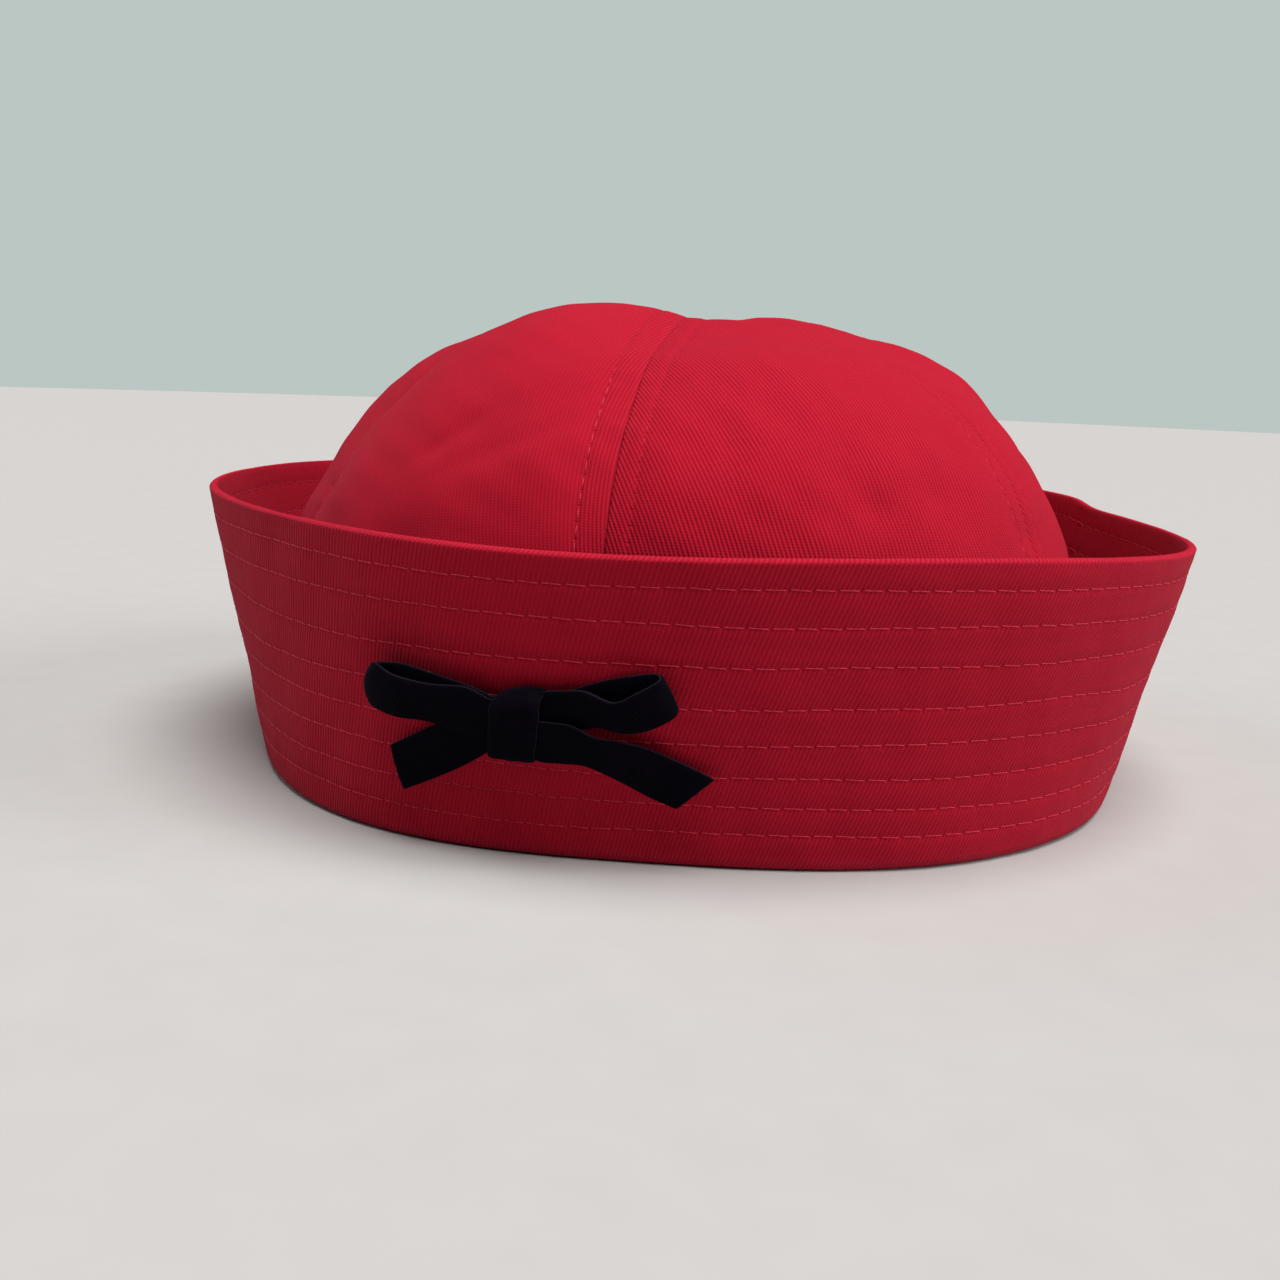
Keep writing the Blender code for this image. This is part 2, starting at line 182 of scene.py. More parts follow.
@dataclass
class Grid:
    """A grid of points that may close into a ring either way, with the places that its finish reads.

    Each map gives a place for the four corners of each face, and each mark a number for each point.
    """

    points: Array
    maps: dict[str, Array]
    marks: dict[str, Array]
    closes_rows: bool = False
    closes_columns: bool = False
    caps: bool = False

    def faces(self) -> Array:
        """The quads of the grid.

        Returns:
            The numbers of each quad's points, in order round it.
        """
        rows, columns = self.points.shape[:2]
        down = np.arange(rows + self.closes_rows) % rows
        over = np.arange(columns + self.closes_columns) % columns
        return at_corners(down[:, None] * columns + over[None, :]).reshape(-1, 4)

    def end_faces(self) -> Array:
        """Quads that close the first and last rows, where a row runs out and back on a wall's two sides.

        Returns:
            The numbers of each quad's points, with the first row's quads first.
        """
        rows, columns = self.points.shape[:2]
        near = np.arange(columns // 2 - 1)
        strip = np.stack([near, columns - 1 - near, columns - 2 - near, near + 1], axis=-1)
        return np.concatenate([strip, strip[:, ::-1] + (rows - 1) * columns])

    def end_places(self, label: str) -> Array:
        """The places of the end faces' corners on a map: those of the rows that they close.

        Args:
            label: the map's name.
        Returns:
            The places, in the end faces' order.
        """
        first, last = self.maps[label][0, :, 0], self.maps[label][-1, :, 3]
        strip = self.end_faces() % self.points.shape[1]
        half = len(strip) // 2
        return np.concatenate([first[strip[:half]], last[strip[half:]]])

    def build(self, name: str, finish: bpy.types.Material) -> bpy.types.Object:
        """The object of this grid.

        Args:
            name: the object's name.
            finish: the material.
        Returns:
            The new object, at the origin.
        """
        faces = self.faces()
        maps = {label: place.reshape(-1, 2) for label, place in self.maps.items()}
        if self.caps:
            faces = np.concatenate([faces, self.end_faces()])
            maps = {label: np.concatenate([place, self.end_places(label).reshape(-1, 2)])
                    for label, place in maps.items()}
        return make_object(name, self.points, faces.tolist(), maps, finish, self.marks)


def make_object(name: str, points: Array, faces: list, maps: dict[str, Array], finish: bpy.types.Material,
                marks: dict[str, Array]) -> bpy.types.Object:
    """A smooth object in the scene.

    Args:
        name: the object's name.
        points: the vertices.
        faces: the faces, as lists of vertex numbers.
        maps: for each UV map, the place of every corner of every face, in the faces' order.
        finish: the material.
        marks: for each attribute, the number of every vertex.
    Returns:
        The new object, at the origin.
    """
    mesh = bpy.data.meshes.new(name)
    mesh.from_pydata(points.reshape(-1, 3), [], faces)
    for label, place in maps.items():
        layer = mesh.uv_layers.new(name=label)
        layer.data.foreach_set("uv", place.astype(np.float32).ravel())
    for label, number in marks.items():
        attribute = mesh.attributes.new(label, "FLOAT", "POINT")
        attribute.data.foreach_set("value", number.astype(np.float32).ravel())
    mesh.shade_smooth()
    mesh.materials.append(finish)
    piece = bpy.data.objects.new(name, mesh)
    bpy.context.scene.collection.objects.link(piece)
    return piece


def two_sided(outer: Array, inner: Array) -> Array:
    """Rows that run along a wall's outer side and back along its inner side."""
    return np.concatenate([outer, inner[:, ::-1]], axis=1)


def both_sides(place: Array) -> Array:
    """A wall's places, the same on both its sides, at the corners of its faces."""
    around = two_sided(place, place)
    return at_corners(np.concatenate([around, around[:, :1]], axis=1))


# ---- Shader maths ----
class Value:
    """A number or vector of a material, with the arithmetic that adds its Math nodes."""

    def __init__(self, shader: "Shader", socket: bpy.types.NodeSocket) -> None:
        """Wrap a node's output socket."""
        self.shader = shader
        self.socket = socket

    def _math(self, operation: str, *others: "Value | float") -> "Value":
        """A Math node with this value first."""
        return self.shader.node("ShaderNodeMath", {"operation": operation}, dict(enumerate((self, *others))))

    def __add__(self, other: "Value | float") -> "Value":
        """This plus another."""
        return self._math("ADD", other)

    def __sub__(self, other: "Value | float") -> "Value":
        """This less another."""
        return self._math("SUBTRACT", other)

    def __rsub__(self, other: float) -> "Value":
        """A number less this."""
        return self.shader.node("ShaderNodeMath", {"operation": "SUBTRACT"}, {0: other, 1: self})

    def __mul__(self, other: "Value | float") -> "Value":
        """This times another."""
        return self._math("MULTIPLY", other)

    def __truediv__(self, other: "Value | float") -> "Value":
        """This over another."""
        return self._math("DIVIDE", other)

    def __neg__(self) -> "Value":
        """This with its sign turned."""
        return self * -1.0

    __radd__ = __add__
    __rmul__ = __mul__

    def crest(self) -> "Value":
        """A wave from 0 to 1, with its crest at each whole number."""
        return (self * TURN)._math("COSINE") * 0.5 + 0.5

    def bell(self, reach: float) -> "Value":
        """1 at zero, falling off as exp(-(value / reach)^2)."""
        share = self / reach
        return (-(share * share))._math("EXPONENT")

    def power(self, exponent: float) -> "Value":
        """This to a power."""
        return self._math("POWER", exponent)

    def clamped(self) -> "Value":
        """This held between 0 and 1."""
        return self.shader.node("ShaderNodeClamp", {}, {"Value": self})


Setting = str | bool | float | int
Feed = Value | float | tuple[float, ...]
Stretch = tuple[float, float, float]


class Shader:
    """A material whose nodes are made one expression at a time."""

    def __init__(self, name: str) -> None:
        """Start an empty material.

        Args:
            name: the material's name.
        """
        self.material = bpy.data.materials.new(name)
        self.material.use_nodes = True
        self.tree = self.material.node_tree
        self.tree.nodes.clear()

    def node(self, kind: str, settings: dict[str, Setting], inputs: dict, output: int | str = 0) -> Value:
        """Add a node.

        Args:
            kind: the node's type.
            settings: its properties, which are set first.
            inputs: values or links for its sockets, by name or number.
            output: the output that is wanted, by name or number.
        Returns:
            That output, wrapped.
        """
        node = self.tree.nodes.new(kind)
        for label, setting in settings.items():
            setattr(node, label, setting)
        for label, feed in inputs.items():
            if isinstance(feed, Value):
                self.tree.links.new(feed.socket, node.inputs[label])
            else:
                node.inputs[label].default_value = feed
        return Value(self, node.outputs[output])

    def place(self, layer: str) -> Value:
        """The place on one of the piece's UV maps."""
        return self.node("ShaderNodeUVMap", {"uv_map": layer}, {})

    def parts(self, vector: Value) -> tuple[Value, Value]:
        """The first two numbers of a vector."""
        split = self.node("ShaderNodeSeparateXYZ", {}, {0: vector})
        return split, Value(self, split.socket.node.outputs[1])

    def attribute(self, label: str) -> Value:
        """A number that the mesh carries at each point."""
        return self.node("ShaderNodeAttribute", {"attribute_name": label}, {}, "Fac")

    def noise(self, vector: Value, scale: float, detail: float = 2.0) -> Value:
        """Smooth noise from 0 to 1, its mean about a half."""
        inputs = {"Vector": vector, "Scale": scale, "Detail": detail}
        return self.node("ShaderNodeTexNoise", {"noise_dimensions": "3D"}, inputs)

    def drawn_noise(self, vector: Value, waves: Stretch, detail: float = 2.0) -> Value:
        """Smooth noise with about this many waves a unit along each axis, so it may be drawn out."""
        drawn = self.node("ShaderNodeVectorMath", {"operation": "MULTIPLY"}, {0: vector, 1: waves})
        return self.noise(drawn, 1.0, detail)

    def mix(self, factor: "Value | float", first: Feed, second: Feed) -> Value:
        """A colour between two."""
        return self.node("ShaderNodeMix", {"data_type": "RGBA"}, {0: factor, 6: first, 7: second}, 2)

    def bump(self, height: Value, depth: float, under: Value | None = None) -> Value:
        """A normal bent by a height from 0 to 1, which stands for a depth in metres, over another bump."""
        inputs = {"Strength": 1.0, "Distance": depth, "Height": height}
        return self.node("ShaderNodeBump", {}, inputs if under is None else inputs | {"Normal": under})

    def finished(self, inputs: dict) -> bpy.types.Material:
        """The material, once a Principled BSDF takes these inputs.

        Args:
            inputs: the values or links of its sockets, by name.
        Returns:
            The finished material.
        """
        surface = self.node("ShaderNodeBsdfPrincipled", {}, inputs)
        out = self.tree.nodes.new("ShaderNodeOutputMaterial")
        self.tree.links.new(surface.socket, out.inputs["Surface"])
        return self.material


# ---- Finishes ----
Colour = tuple[float, float, float, float]


@dataclass(frozen=True)
class TwillLay:
    """How the twill lies on a piece: its ribs' lean to the right of upright, and the spacing of its lines."""

    rib_lean: float
    rib_spacing: float = 0.00075
    row_spacing: float = 0.00052

    def count(self, right: Array, up: Array) -> Array:
        """The twill's lines counted to a place on the flat piece, square to the ribs and along them.

        Args:
            right: how far to the right the place is.
            up: how far up it is.
        Returns:
            The count of ribs and the count of yarn rows.
        """
        lean = math.radians(self.rib_lean)
        across = right * math.cos(lean) - up * math.sin(lean)
        along = right * math.sin(lean) + up * math.cos(lean)
        return np.stack([across / self.rib_spacing, along / self.row_spacing], axis=-1)


@dataclass(frozen=True)
class TwillFinish:
    """Cotton twill: fine slanted ribs, drawn in at the stitching and rubbed paler along its folds.

    Each of its noises has so many waves to a rib across the cloth, and so many to a yarn row along it.
    """

    name: str = "red_twill"
    ridge: Colour = (0.400, 0.0051, 0.0220, 1.0)
    # groove is the colour of the rib grooves, darker than ridge as painted shade in the grooves.
    groove: Colour = (0.280, 0.0018, 0.0115, 1.0)
    rubbed: Colour = (0.515, 0.0220, 0.0520, 1.0)
    sway_waves: Stretch = (0.11, 0.022, 1.0)
    slub_waves: Stretch = (0.9, 0.11, 1.0)
    cloud_waves: Stretch = (0.035, 0.024, 1.0)
    grain_waves: Stretch = (1.3, 1.1, 1.0)
    sway: float = 0.9
    ridge_breadth: float = 0.75
    row_slant: float = 0.35
    rib_height: float = 0.40
    rows_on_ribs: float = 0.22
    grain_on_ribs: float = 0.44
    row_height: float = 0.04
    slub_height: float = 0.30
    grain_height: float = 0.12
    mean_height: float = 0.62
    rib_depth: float = 0.000095
    pucker_depth: float = 0.00012
    hole_press: float = 0.75
    hole_sharpness: float = 26.0
    hole_reach: float = 0.42
    # hole_shade is how far the needle holes darken the colour: painted shade in the holes.
    hole_shade: float = 0.95
    hole_unevenness: tuple[float, float] = (1.6, 0.2)
    tone_gain: float = 0.80
    tone_clouds: float = 0.36
    tone_start: float = 0.04
    worn_everywhere: float = 0.25
    worn_ribs: float = 0.55
    worn_between_slubs: float = 0.4
    roughness: float = 0.92

    def material(self) -> bpy.types.Material:
        """The ribs are a wave of the ribs' count, so each runs along the cloth where that count is whole.

        The height is (0.5 + 0.5 cos(2 pi count)) to a power that makes the ridges broad, cut across by
        the yarn rows and made uneven by noise drawn out along the ribs. It sets the bump, and the colour
        between groove and ridge: the darker groove colour is painted shade in the grooves. Each stitch row
        presses the cloth in, most at the needle holes, where the colour is painted darker as shade in the
        holes. The stitching map gives the distance from the row as a share of that reach.

        Returns:
            The material.
        """
        shader = Shader(self.name)
        cloth = shader.place("weave")
        across, along = shader.parts(cloth)
        sway = shader.drawn_noise(cloth, self.sway_waves)
        slub = shader.drawn_noise(cloth, self.slub_waves, 3.0)
        cloud = shader.drawn_noise(cloth, self.cloud_waves, 4.0)
        grain = shader.drawn_noise(cloth, self.grain_waves)
        rib = (across + (sway - 0.5) * self.sway).crest().power(self.ridge_breadth)
        row = (along + across * self.row_slant).crest()
        height = rib * (self.rib_height + row * self.rows_on_ribs + grain * self.grain_on_ribs)
        height = height + row * self.row_height + slub * self.slub_height + grain * self.grain_height
        # boldness scales the ribs' height about its mean, so it deepens both their bump and their painted
        # groove shade.
        height = (height - self.mean_height) * shader.attribute("boldness") + self.mean_height

        count, apart = shader.parts(shader.place("stitching"))
        hole = count.crest().power(self.hole_sharpness)
        press = apart.bell(1.0) * (hole * self.hole_press + (1.0 - self.hole_press))
        uneven, start = self.hole_unevenness
        # Painted shade at the needle holes, made patchy by the slubs.
        shade = apart.bell(self.hole_reach) * hole * (slub * uneven - start).clamped()

        # The colour runs from groove to ridge with the height, so it is darker towards the grooves as painted
        # shade, and darker still at the needle holes as painted shade.
        tone = height * (self.tone_gain + cloud * self.tone_clouds) - self.tone_start
        tone = (tone - shade * self.hole_shade).clamped()
        colour = shader.mix(tone, self.groove, self.ridge)
        worn = shader.attribute("wear") * (self.worn_everywhere + rib * self.worn_ribs)
        worn = (worn * (self.worn_between_slubs + slub)).clamped()
        colour = shader.mix(worn, colour, self.rubbed)
        fine = shader.bump(height, self.rib_depth)
        return shader.finished({
            "Base Color": colour,
            "Roughness": self.roughness,
            "Normal": shader.bump(1.0 - press, self.pucker_depth, fine),
            "Sheen Weight": 0.035,
            "Sheen Roughness": 0.5,
            "Sheen Tint": (1.0, 0.42, 0.60, 1.0),
            "Specular IOR Level": 0.10,
        })


@dataclass(frozen=True)
class ThreadFinish:
    """Sewing thread: two plies twisted together, a little paler than the cloth."""

    name: str = "red_thread"
    crown: Colour = (0.560, 0.0230, 0.0540, 1.0)
    # valley is darker than crown as painted shade between the plies.
    valley: Colour = (0.380, 0.0070, 0.0230, 1.0)
    ply_spacing: float = 0.00055
    ply_breadth: float = 0.6
    twist_depth: float = 0.00005
    roughness: float = 0.6

    def material(self) -> bpy.types.Material:
        """The plies are a wave of (along / spacing + turn about the thread), in colour and in height, with
        the darker valley colour painted shade between the plies.

        Returns:
            The material.
        """
        shader = Shader(self.name)
        turn, along = shader.parts(shader.place("weave"))
        ply = (along / self.ply_spacing + turn).crest()
        colour = shader.mix(ply.power(self.ply_breadth), self.valley, self.crown)
        return shader.finished({
            "Base Color": colour,
            "Roughness": self.roughness,
            "Normal": shader.bump(ply, self.twist_depth),
            "Sheen Weight": 0.05,
            "Specular IOR Level": 0.20,
        })


@dataclass(frozen=True)
class VelvetFinish:
    """Short-pile velvet ribbon with a smooth woven edge."""

    name: str = "black_velvet"
    pile: Colour = (0.0012, 0.0008, 0.0022, 1.0)
    nap: Colour = (0.0032, 0.0022, 0.0058, 1.0)
    selvedge: Colour = (0.016, 0.012, 0.019, 1.0)
    lint: Colour = (0.35, 0.33, 0.36, 1.0)
    pile_waves: Stretch = (3200.0, 3200.0, 1.0)
    brush_waves: Stretch = (260.0, 420.0, 1.0)
    lint_waves: Stretch = (1500.0, 1500.0, 1.0)
    pile_depth: float = 0.00012
    pile_share: float = 0.7
    nap_contrast: tuple[float, float] = (1.6, 0.4)
    selvedge_width: float = 0.00010
    selvedge_cover: float = 0.8
    lint_start: float = 0.80
    lint_sharpness: float = 30.0

    def material(self) -> bpy.types.Material:
        """Pile is fine noise, brushed patches are broad noise, and the edge is read from the ribbon.

        The ribbon's edge map gives the distance in from its nearest edge, so the selvedge is where that
        is under its width. Lint is the few highest points of a fine noise.

        Returns:
            The material.
        """
        shader = Shader(self.name)
        cloth = shader.place("weave")
        fuzz = shader.drawn_noise(cloth, self.pile_waves)
        brushed = shader.drawn_noise(cloth, self.brush_waves, 3.0)
        specks = shader.drawn_noise(cloth, self.lint_waves, 1.0)
        inward, _ = shader.parts(shader.place("edge"))
        edge = (1.0 - inward / self.selvedge_width).clamped().power(0.5)
        lint = ((specks - self.lint_start) * self.lint_sharpness).clamped()
        contrast, start = self.nap_contrast
        colour = shader.mix((brushed * contrast - start).clamped(), self.pile, self.nap)
        colour = shader.mix(edge * self.selvedge_cover, colour, self.selvedge)
        colour = shader.mix(lint, colour, self.lint)
        height = fuzz * self.pile_share + brushed * (1.0 - self.pile_share)
        return shader.finished({
            "Base Color": colour,
            "Roughness": 1.0,
            "Normal": shader.bump(height, self.pile_depth),
            "Sheen Weight": 0.045,
            "Sheen Roughness": 0.30,
            "Sheen Tint": (0.42, 0.36, 0.70, 1.0),
            "Specular IOR Level": 0.04,
        })


@dataclass(frozen=True)
class FloorFinish:
    """A plain pale matt floor."""

    name: str = "pale_floor"
    colour: Colour = (0.42, 0.409, 0.402, 1.0)
    grain_scale: float = 90.0
    darkest: float = 0.93

    def material(self) -> bpy.types.Material:
        """One matt colour with a faint unevenness.

        Returns:
            The material.
        """
        shader = Shader(self.name)
        place = shader.node("ShaderNodeTexCoord", {}, {}, "Object")
        grain = shader.noise(place, self.grain_scale, 4.0)
        darker = tuple(part * self.darkest for part in self.colour[:3]) + (1.0,)
        return shader.finished({
            "Base Color": shader.mix(grain, darker, self.colour),
            "Roughness": 0.9,
            "Specular IOR Level": 0.1,
        })


# ---- Stitches ----
@dataclass(frozen=True)
class Thread:
    """The shape of one stitch: a short thread that dips into the cloth at both ends."""

    radius: float = 0.00011
    share: float = 0.95
    slant: float = 0.00009
    lift: float = 0.30
    dip: float = 1.6
    dip_power: int = 8
    narrowing: float = 0.75
    crowding: float = 0.28
    sides: int = 5
    rings: int = 5

    def run(self) -> Array:
        """Where the rings of a stitch lie along it, from -1 to 1: closer together towards its ends."""
        even = np.linspace(-1.0, 1.0, self.rings)
        return np.sign(even) * np.abs(even) ** self.crowding

    def tubes(self, centres: Array, normals: Array) -> Array:
        """Rings of points round the stitches' middle lines, which sink at their ends.

        The middle line stands radius * (lift - dip * t^8) off the cloth, at t from -1 to 1 along it. Each
        ring is a circle square to that line, of the size radius * sqrt(1 - narrowing * t^8).

        Args:
            centres: points of each stitch on the cloth, as stitches, rings and 3.
            normals: the cloth's normals there.
        Returns:
            The points, as stitches, rings, sides and 3.
        """
        ends = self.run() ** self.dip_power
        height = self.radius * (self.lift - self.dip * ends)
        size = self.radius * np.sqrt(1 - self.narrowing * ends)
        line = centres + normals * height[None, :, None]
        along = unit(np.gradient(line, axis=1))
        aside = unit(np.cross(along, normals))
        upright = np.cross(aside, along)
        angle = (np.arange(self.sides) * TURN / self.sides)[:, None]
        around = aside[:, :, None] * np.cos(angle) + upright[:, :, None] * np.sin(angle)
        return line[:, :, None] + around * size[None, :, None, None]

    def faces(self, count: int) -> list[list[int]]:
        """The walls of all the stitches, then their closed ends.

        Args:
            count: how many stitches there are.
        Returns:
            The faces, as lists of point numbers.
        """
        ring = np.arange(self.rings - 1)[:, None] * self.sides
        side = np.arange(self.sides)
        after = (side + 1) % self.sides
        corners = (side, self.sides + side, self.sides + after, after)
        walls = np.stack([ring + corner for corner in corners], axis=-1).reshape(-1, 4)
        starts = np.arange(count)[:, None] * self.rings * self.sides
        walls = (walls + starts[..., None]).reshape(-1, 4)
        last = side[::-1] + (self.rings - 1) * self.sides
        return walls.tolist() + (side + starts).tolist() + (last + starts).tolist()

    def places(self, count: int, step: float) -> Array:
        """Where the faces' corners lie round and along the thread. The closed ends are all at 0.

        Args:
            count: how many stitches there are.
            step: the distance between two rings.
        Returns:
            The turns round the thread and the distance along it, for each corner.
        """
        turn = (np.arange(self.sides)[:, None] + np.array([0, 0, 1, 1])) / self.sides
        ring = np.arange(self.rings - 1)[:, None, None] + np.array([0, 1, 1, 0])
        turn, ring = np.broadcast_arrays(turn, ring)
        walls = np.stack([turn, ring * step], axis=-1).reshape(-1, 2)
        return np.concatenate([np.tile(walls, (count, 1)), np.zeros((2 * count * self.sides, 2))])

    def mesh(self, centres: Array, normals: Array) -> tuple[Array, list[list[int]], Array]:
        """All the stitches as closed tubes.

        Args:
            centres: points of each stitch on the cloth, as stitches, rings and 3.
            normals: the cloth's normals there.
        Returns:
            The vertices, the faces, and the places of the faces' corners.
        """
        count, step = len(centres), np.linalg.norm(centres[0, 1] - centres[0, 0])
        return self.tubes(centres, normals), self.faces(count), self.places(count, step)


# ---- The brim ----
@dataclass(frozen=True)
class BrimStation:
    """The brim's plan at one azimuth: the bottom fold's radius, then the rim's radius and height."""

    fold_radius: float
    rim_radius: float
    rim_height: float


# One station every 30 degrees, from the front seam on.
BRIM_STATIONS = (
    BrimStation(0.0893, 0.1057, 0.0573),
    BrimStation(0.0929, 0.1062, 0.0581),
    BrimStation(0.0984, 0.1102, 0.0566),
    BrimStation(0.0959, 0.1084, 0.0556),
    BrimStation(0.0947, 0.1042, 0.0579),
    BrimStation(0.0973, 0.1066, 0.0594),
    BrimStation(0.0917, 0.1067, 0.0578),
    BrimStation(0.0940, 0.1078, 0.0578),
    BrimStation(0.0935, 0.1060, 0.0591),
    BrimStation(0.0974, 0.1094, 0.0596),
    BrimStation(0.0975, 0.1071, 0.0586),
    BrimStation(0.0967, 0.1053, 0.0581),
)


def brim_size(name: str, azimuth: Array) -> Array:
    """One of the stations' sizes, by its name, at each azimuth."""
    return closed_curve(np.array([getattr(station, name) for station in BRIM_STATIONS]), azimuth)


@dataclass(frozen=True)
class Drift:
    """A slow change round the brim: its middle and its reach in degrees, and how much it adds there."""

    azimuth: float
    reach: float
    amount: float


def drift_at(drifts: tuple[Drift, ...], azimuth: Array) -> Array:
    """What drifts add up to at each azimuth, each falling off as a bell from its middle."""
    return sum((drift.amount * bell(degrees_from(azimuth, drift.azimuth), drift.reach) for drift in drifts),
               0.0 * azimuth)


@dataclass(frozen=True)
class StitchRow:
    """A row of stitches round the brim: its distance up the slant, and where the sewing strays from it."""

    up: float
    strays: tuple[Drift, ...] = ()


class Side(Enum):
    """The two faces of a wall of cloth."""

    OUTER = 1
    INNER = -1


@dataclass(frozen=True)
class Brim:
    """The turned-up brim: a stitched band that flares from the bottom fold to a folded rim.

    Places on the band are distances up its slant from the bottom fold. hem_up, bend_up and lip_up are the
    places that the cloth below the fold has on its maps.
    """

    wall: float = 0.0019
    fold_bend: float = 0.0023
    hem_width: float = 0.0060
    mean_fold_radius: float = 0.0945
    mean_rim_radius: float = 0.1070
    slant: float = 0.0593
    stitch_rows: tuple[StitchRow, ...] = (
        StitchRow(0.0071, (Drift(20, 8, 0.0003),)),
        StitchRow(0.0128, (Drift(19, 8, 0.0004), Drift(49, 8, -0.0006))),
        StitchRow(0.0188, (Drift(19, 8, 0.0004),)),
        StitchRow(0.0255),
        StitchRow(0.0323, (Drift(-36, 18, -0.0009), Drift(51, 9, 0.0009))),
        StitchRow(0.0402, (Drift(-33, 20, -0.0016), Drift(27, 11, 0.00045))),
        StitchRow(0.0473, (Drift(-1, 17, 0.00088),)),
        StitchRow(0.0540),
    )
    stitch_pitch: float = 0.0041
    stitch_lengths: tuple[float, float] = (0.92, 1.04)
    stitch_tilts: tuple[float, float] = (0.4, 1.5)
    row_phase: float = 0.37
    row_wander: float = 0.00018
    groove_depth: float = 0.00008
    groove_reach: float = 0.00075
    pucker_reach: float = 0.00075
    quilting: float = 0.00003
    quilting_reach: float = 0.0024
    inner_relief: float = 0.4
    plain_at_fold: float = 0.004
    plain_at_rim: float = 0.003
    edge_waves: float = 0.4
    seam_azimuth: float = 116.0
    seam_depth: float = 0.00070
    seam_reach: float = 0.00060
    seam_ridge: float = 0.00035
    seam_ridge_place: float = 0.0035
    seam_ridge_reach: float = 0.0030
    rim_roundness: float = 0.60
    rim_girth: float = 0.0020
    rim_strays: tuple[Drift, ...] = (Drift(-70, 13, 0.0010),)
    rim_step: float = 0.00075
    rim_step_turn: float = 2.2
    rim_step_fade: float = 22.0
    lay: TwillLay = TwillLay(15.3, 0.00075)
    boldness: float = 1.1
    bolder: tuple[Drift, ...] = (Drift(-32, 16, 0.7), Drift(-4, 11, -0.35))
    rim_boldness: float = 0.7
    rim_boldness_place: float = 0.0008
    rim_boldness_reach: float = 0.0016
    rim_wear: float = 0.32
    rim_wear_place: float = 0.0006
    rim_wear_reach: float = 0.0009
    fold_wear: float = 0.4
    fold_wear_place: float = 0.0008
    fold_wear_reach: float = 0.0016
    columns: int = 330
    wall_rows: int = 130
    inner_rows: int = 60
    bend_rows: int = 6
    hem_rows: int = 4
    rim_rows: int = 7
    lip_rows: int = 3
    hem_up: tuple[float, float] = (-0.006, -0.003)
    bend_up: tuple[float, float] = (-0.002, 0.001)
    lip_up: float = -0.007
    waves: SoftWaves = SoftWaves(0.00016, 0.014, 0.050, 3)
    ripples: SoftWaves = SoftWaves(0.00005, 0.005, 0.011, 7)

    def ring(self, azimuth: Array) -> tuple[Array, Array, Array]:
        """The band's two edges. The rim has a soft step at the seam that joins the band's ends.

        The step is rim_step * tanh(apart / turn), and a bell fades it out on both sides.

        Args:
            azimuth: degrees round the cap.
        Returns:
            The fold's radius, and the rim's radius and height.
        """
        apart = degrees_from(azimuth, self.seam_azimuth)
        step = self.rim_step * np.tanh(apart / self.rim_step_turn) * bell(apart, self.rim_step_fade)
        rim = brim_size("rim_radius", azimuth) + drift_at(self.rim_strays, azimuth)
        return brim_size("fold_radius", azimuth), rim, brim_size("rim_height", azimuth) + step

    def section(self, azimuth: Array, up: Array, side: Side) -> tuple[Array, Array]:
        """The bare wall: points at a distance up the slant, on one face, and the outward normals.

        Args:
            azimuth: degrees round the cap.
            up: distance from the bottom fold, where 0 is the fold and the mean slant is the rim.
            side: which face of the wall.
        Returns:
            The points and the normals of the outer face.
        """
        fold, rim, height = self.ring(azimuth)
        flare = rim - fold
        length = np.hypot(flare, height)
        share = up / self.slant
        point = at_height(fold + flare * share, azimuth, height * share)
        normal = at_height(height / length, azimuth, -flare / length)
        return (point if side is Side.OUTER else point - normal * self.wall), normal

    def row_height(self, row: int, azimuth: Array) -> Array:
        """How far up the slant a stitch row runs, with the small wander of the sewing.

        The wander is sin(3a + 1.9 row) + 0.6 sin(7a + 2.7 row), for a turn of a round the cap.

        Args:
            row: the row's number, from the fold.
            azimuth: degrees round the cap.
        Returns:
            The distance up.
        """
        angle = np.radians(azimuth)
        wander = np.sin(3 * angle + 1.9 * row) + 0.6 * np.sin(7 * angle + 2.7 * row)
        stitch_row = self.stitch_rows[row]
        return stitch_row.up + drift_at(stitch_row.strays, azimuth) + self.row_wander * wander

    def row_count(self, row: int) -> int:
        """How many stitches a row has all the way round: the band's girth there over the pitch.

        Args:
            row: the row's number, from the fold.
        Returns:
            The whole number of stitches.
        """
        share = self.stitch_rows[row].up / self.slant
        radius = self.mean_fold_radius + (self.mean_rim_radius - self.mean_fold_radius) * share
        return round(TURN * radius / self.stitch_pitch)

    def from_rows(self, azimuth: Array, up: Array) -> Array:
        """The distance up from each stitch row, with the rows first."""
        return np.stack([up - self.row_height(row, azimuth) for row in range(len(self.stitch_rows))])

    def stitching(self, azimuth: Array, up: Array) -> Array:
        """Stitches counted along a row, and the distance up from it in pucker reaches, at faces' corners.

        Args:
            azimuth: degrees round the cap, at the grid's points.
            up: distance up the slant there.
        Returns:
            The places at the corners, which all read the row that is nearest to their face's middle.
        """
        azimuth, up = at_corners(azimuth), at_corners(up)
        apart = self.from_rows(azimuth, up)
        nearest = np.abs(apart.mean(axis=-1)).argmin(axis=0)[..., None]
        counts = np.array([self.row_count(row) for row in range(len(self.stitch_rows))])[nearest]
        along = azimuth / 360.0 * counts + self.row_phase * nearest
        apart = np.take_along_axis(apart, nearest[None], axis=0)[0]
        return np.stack([along, apart / self.pucker_reach], axis=-1)

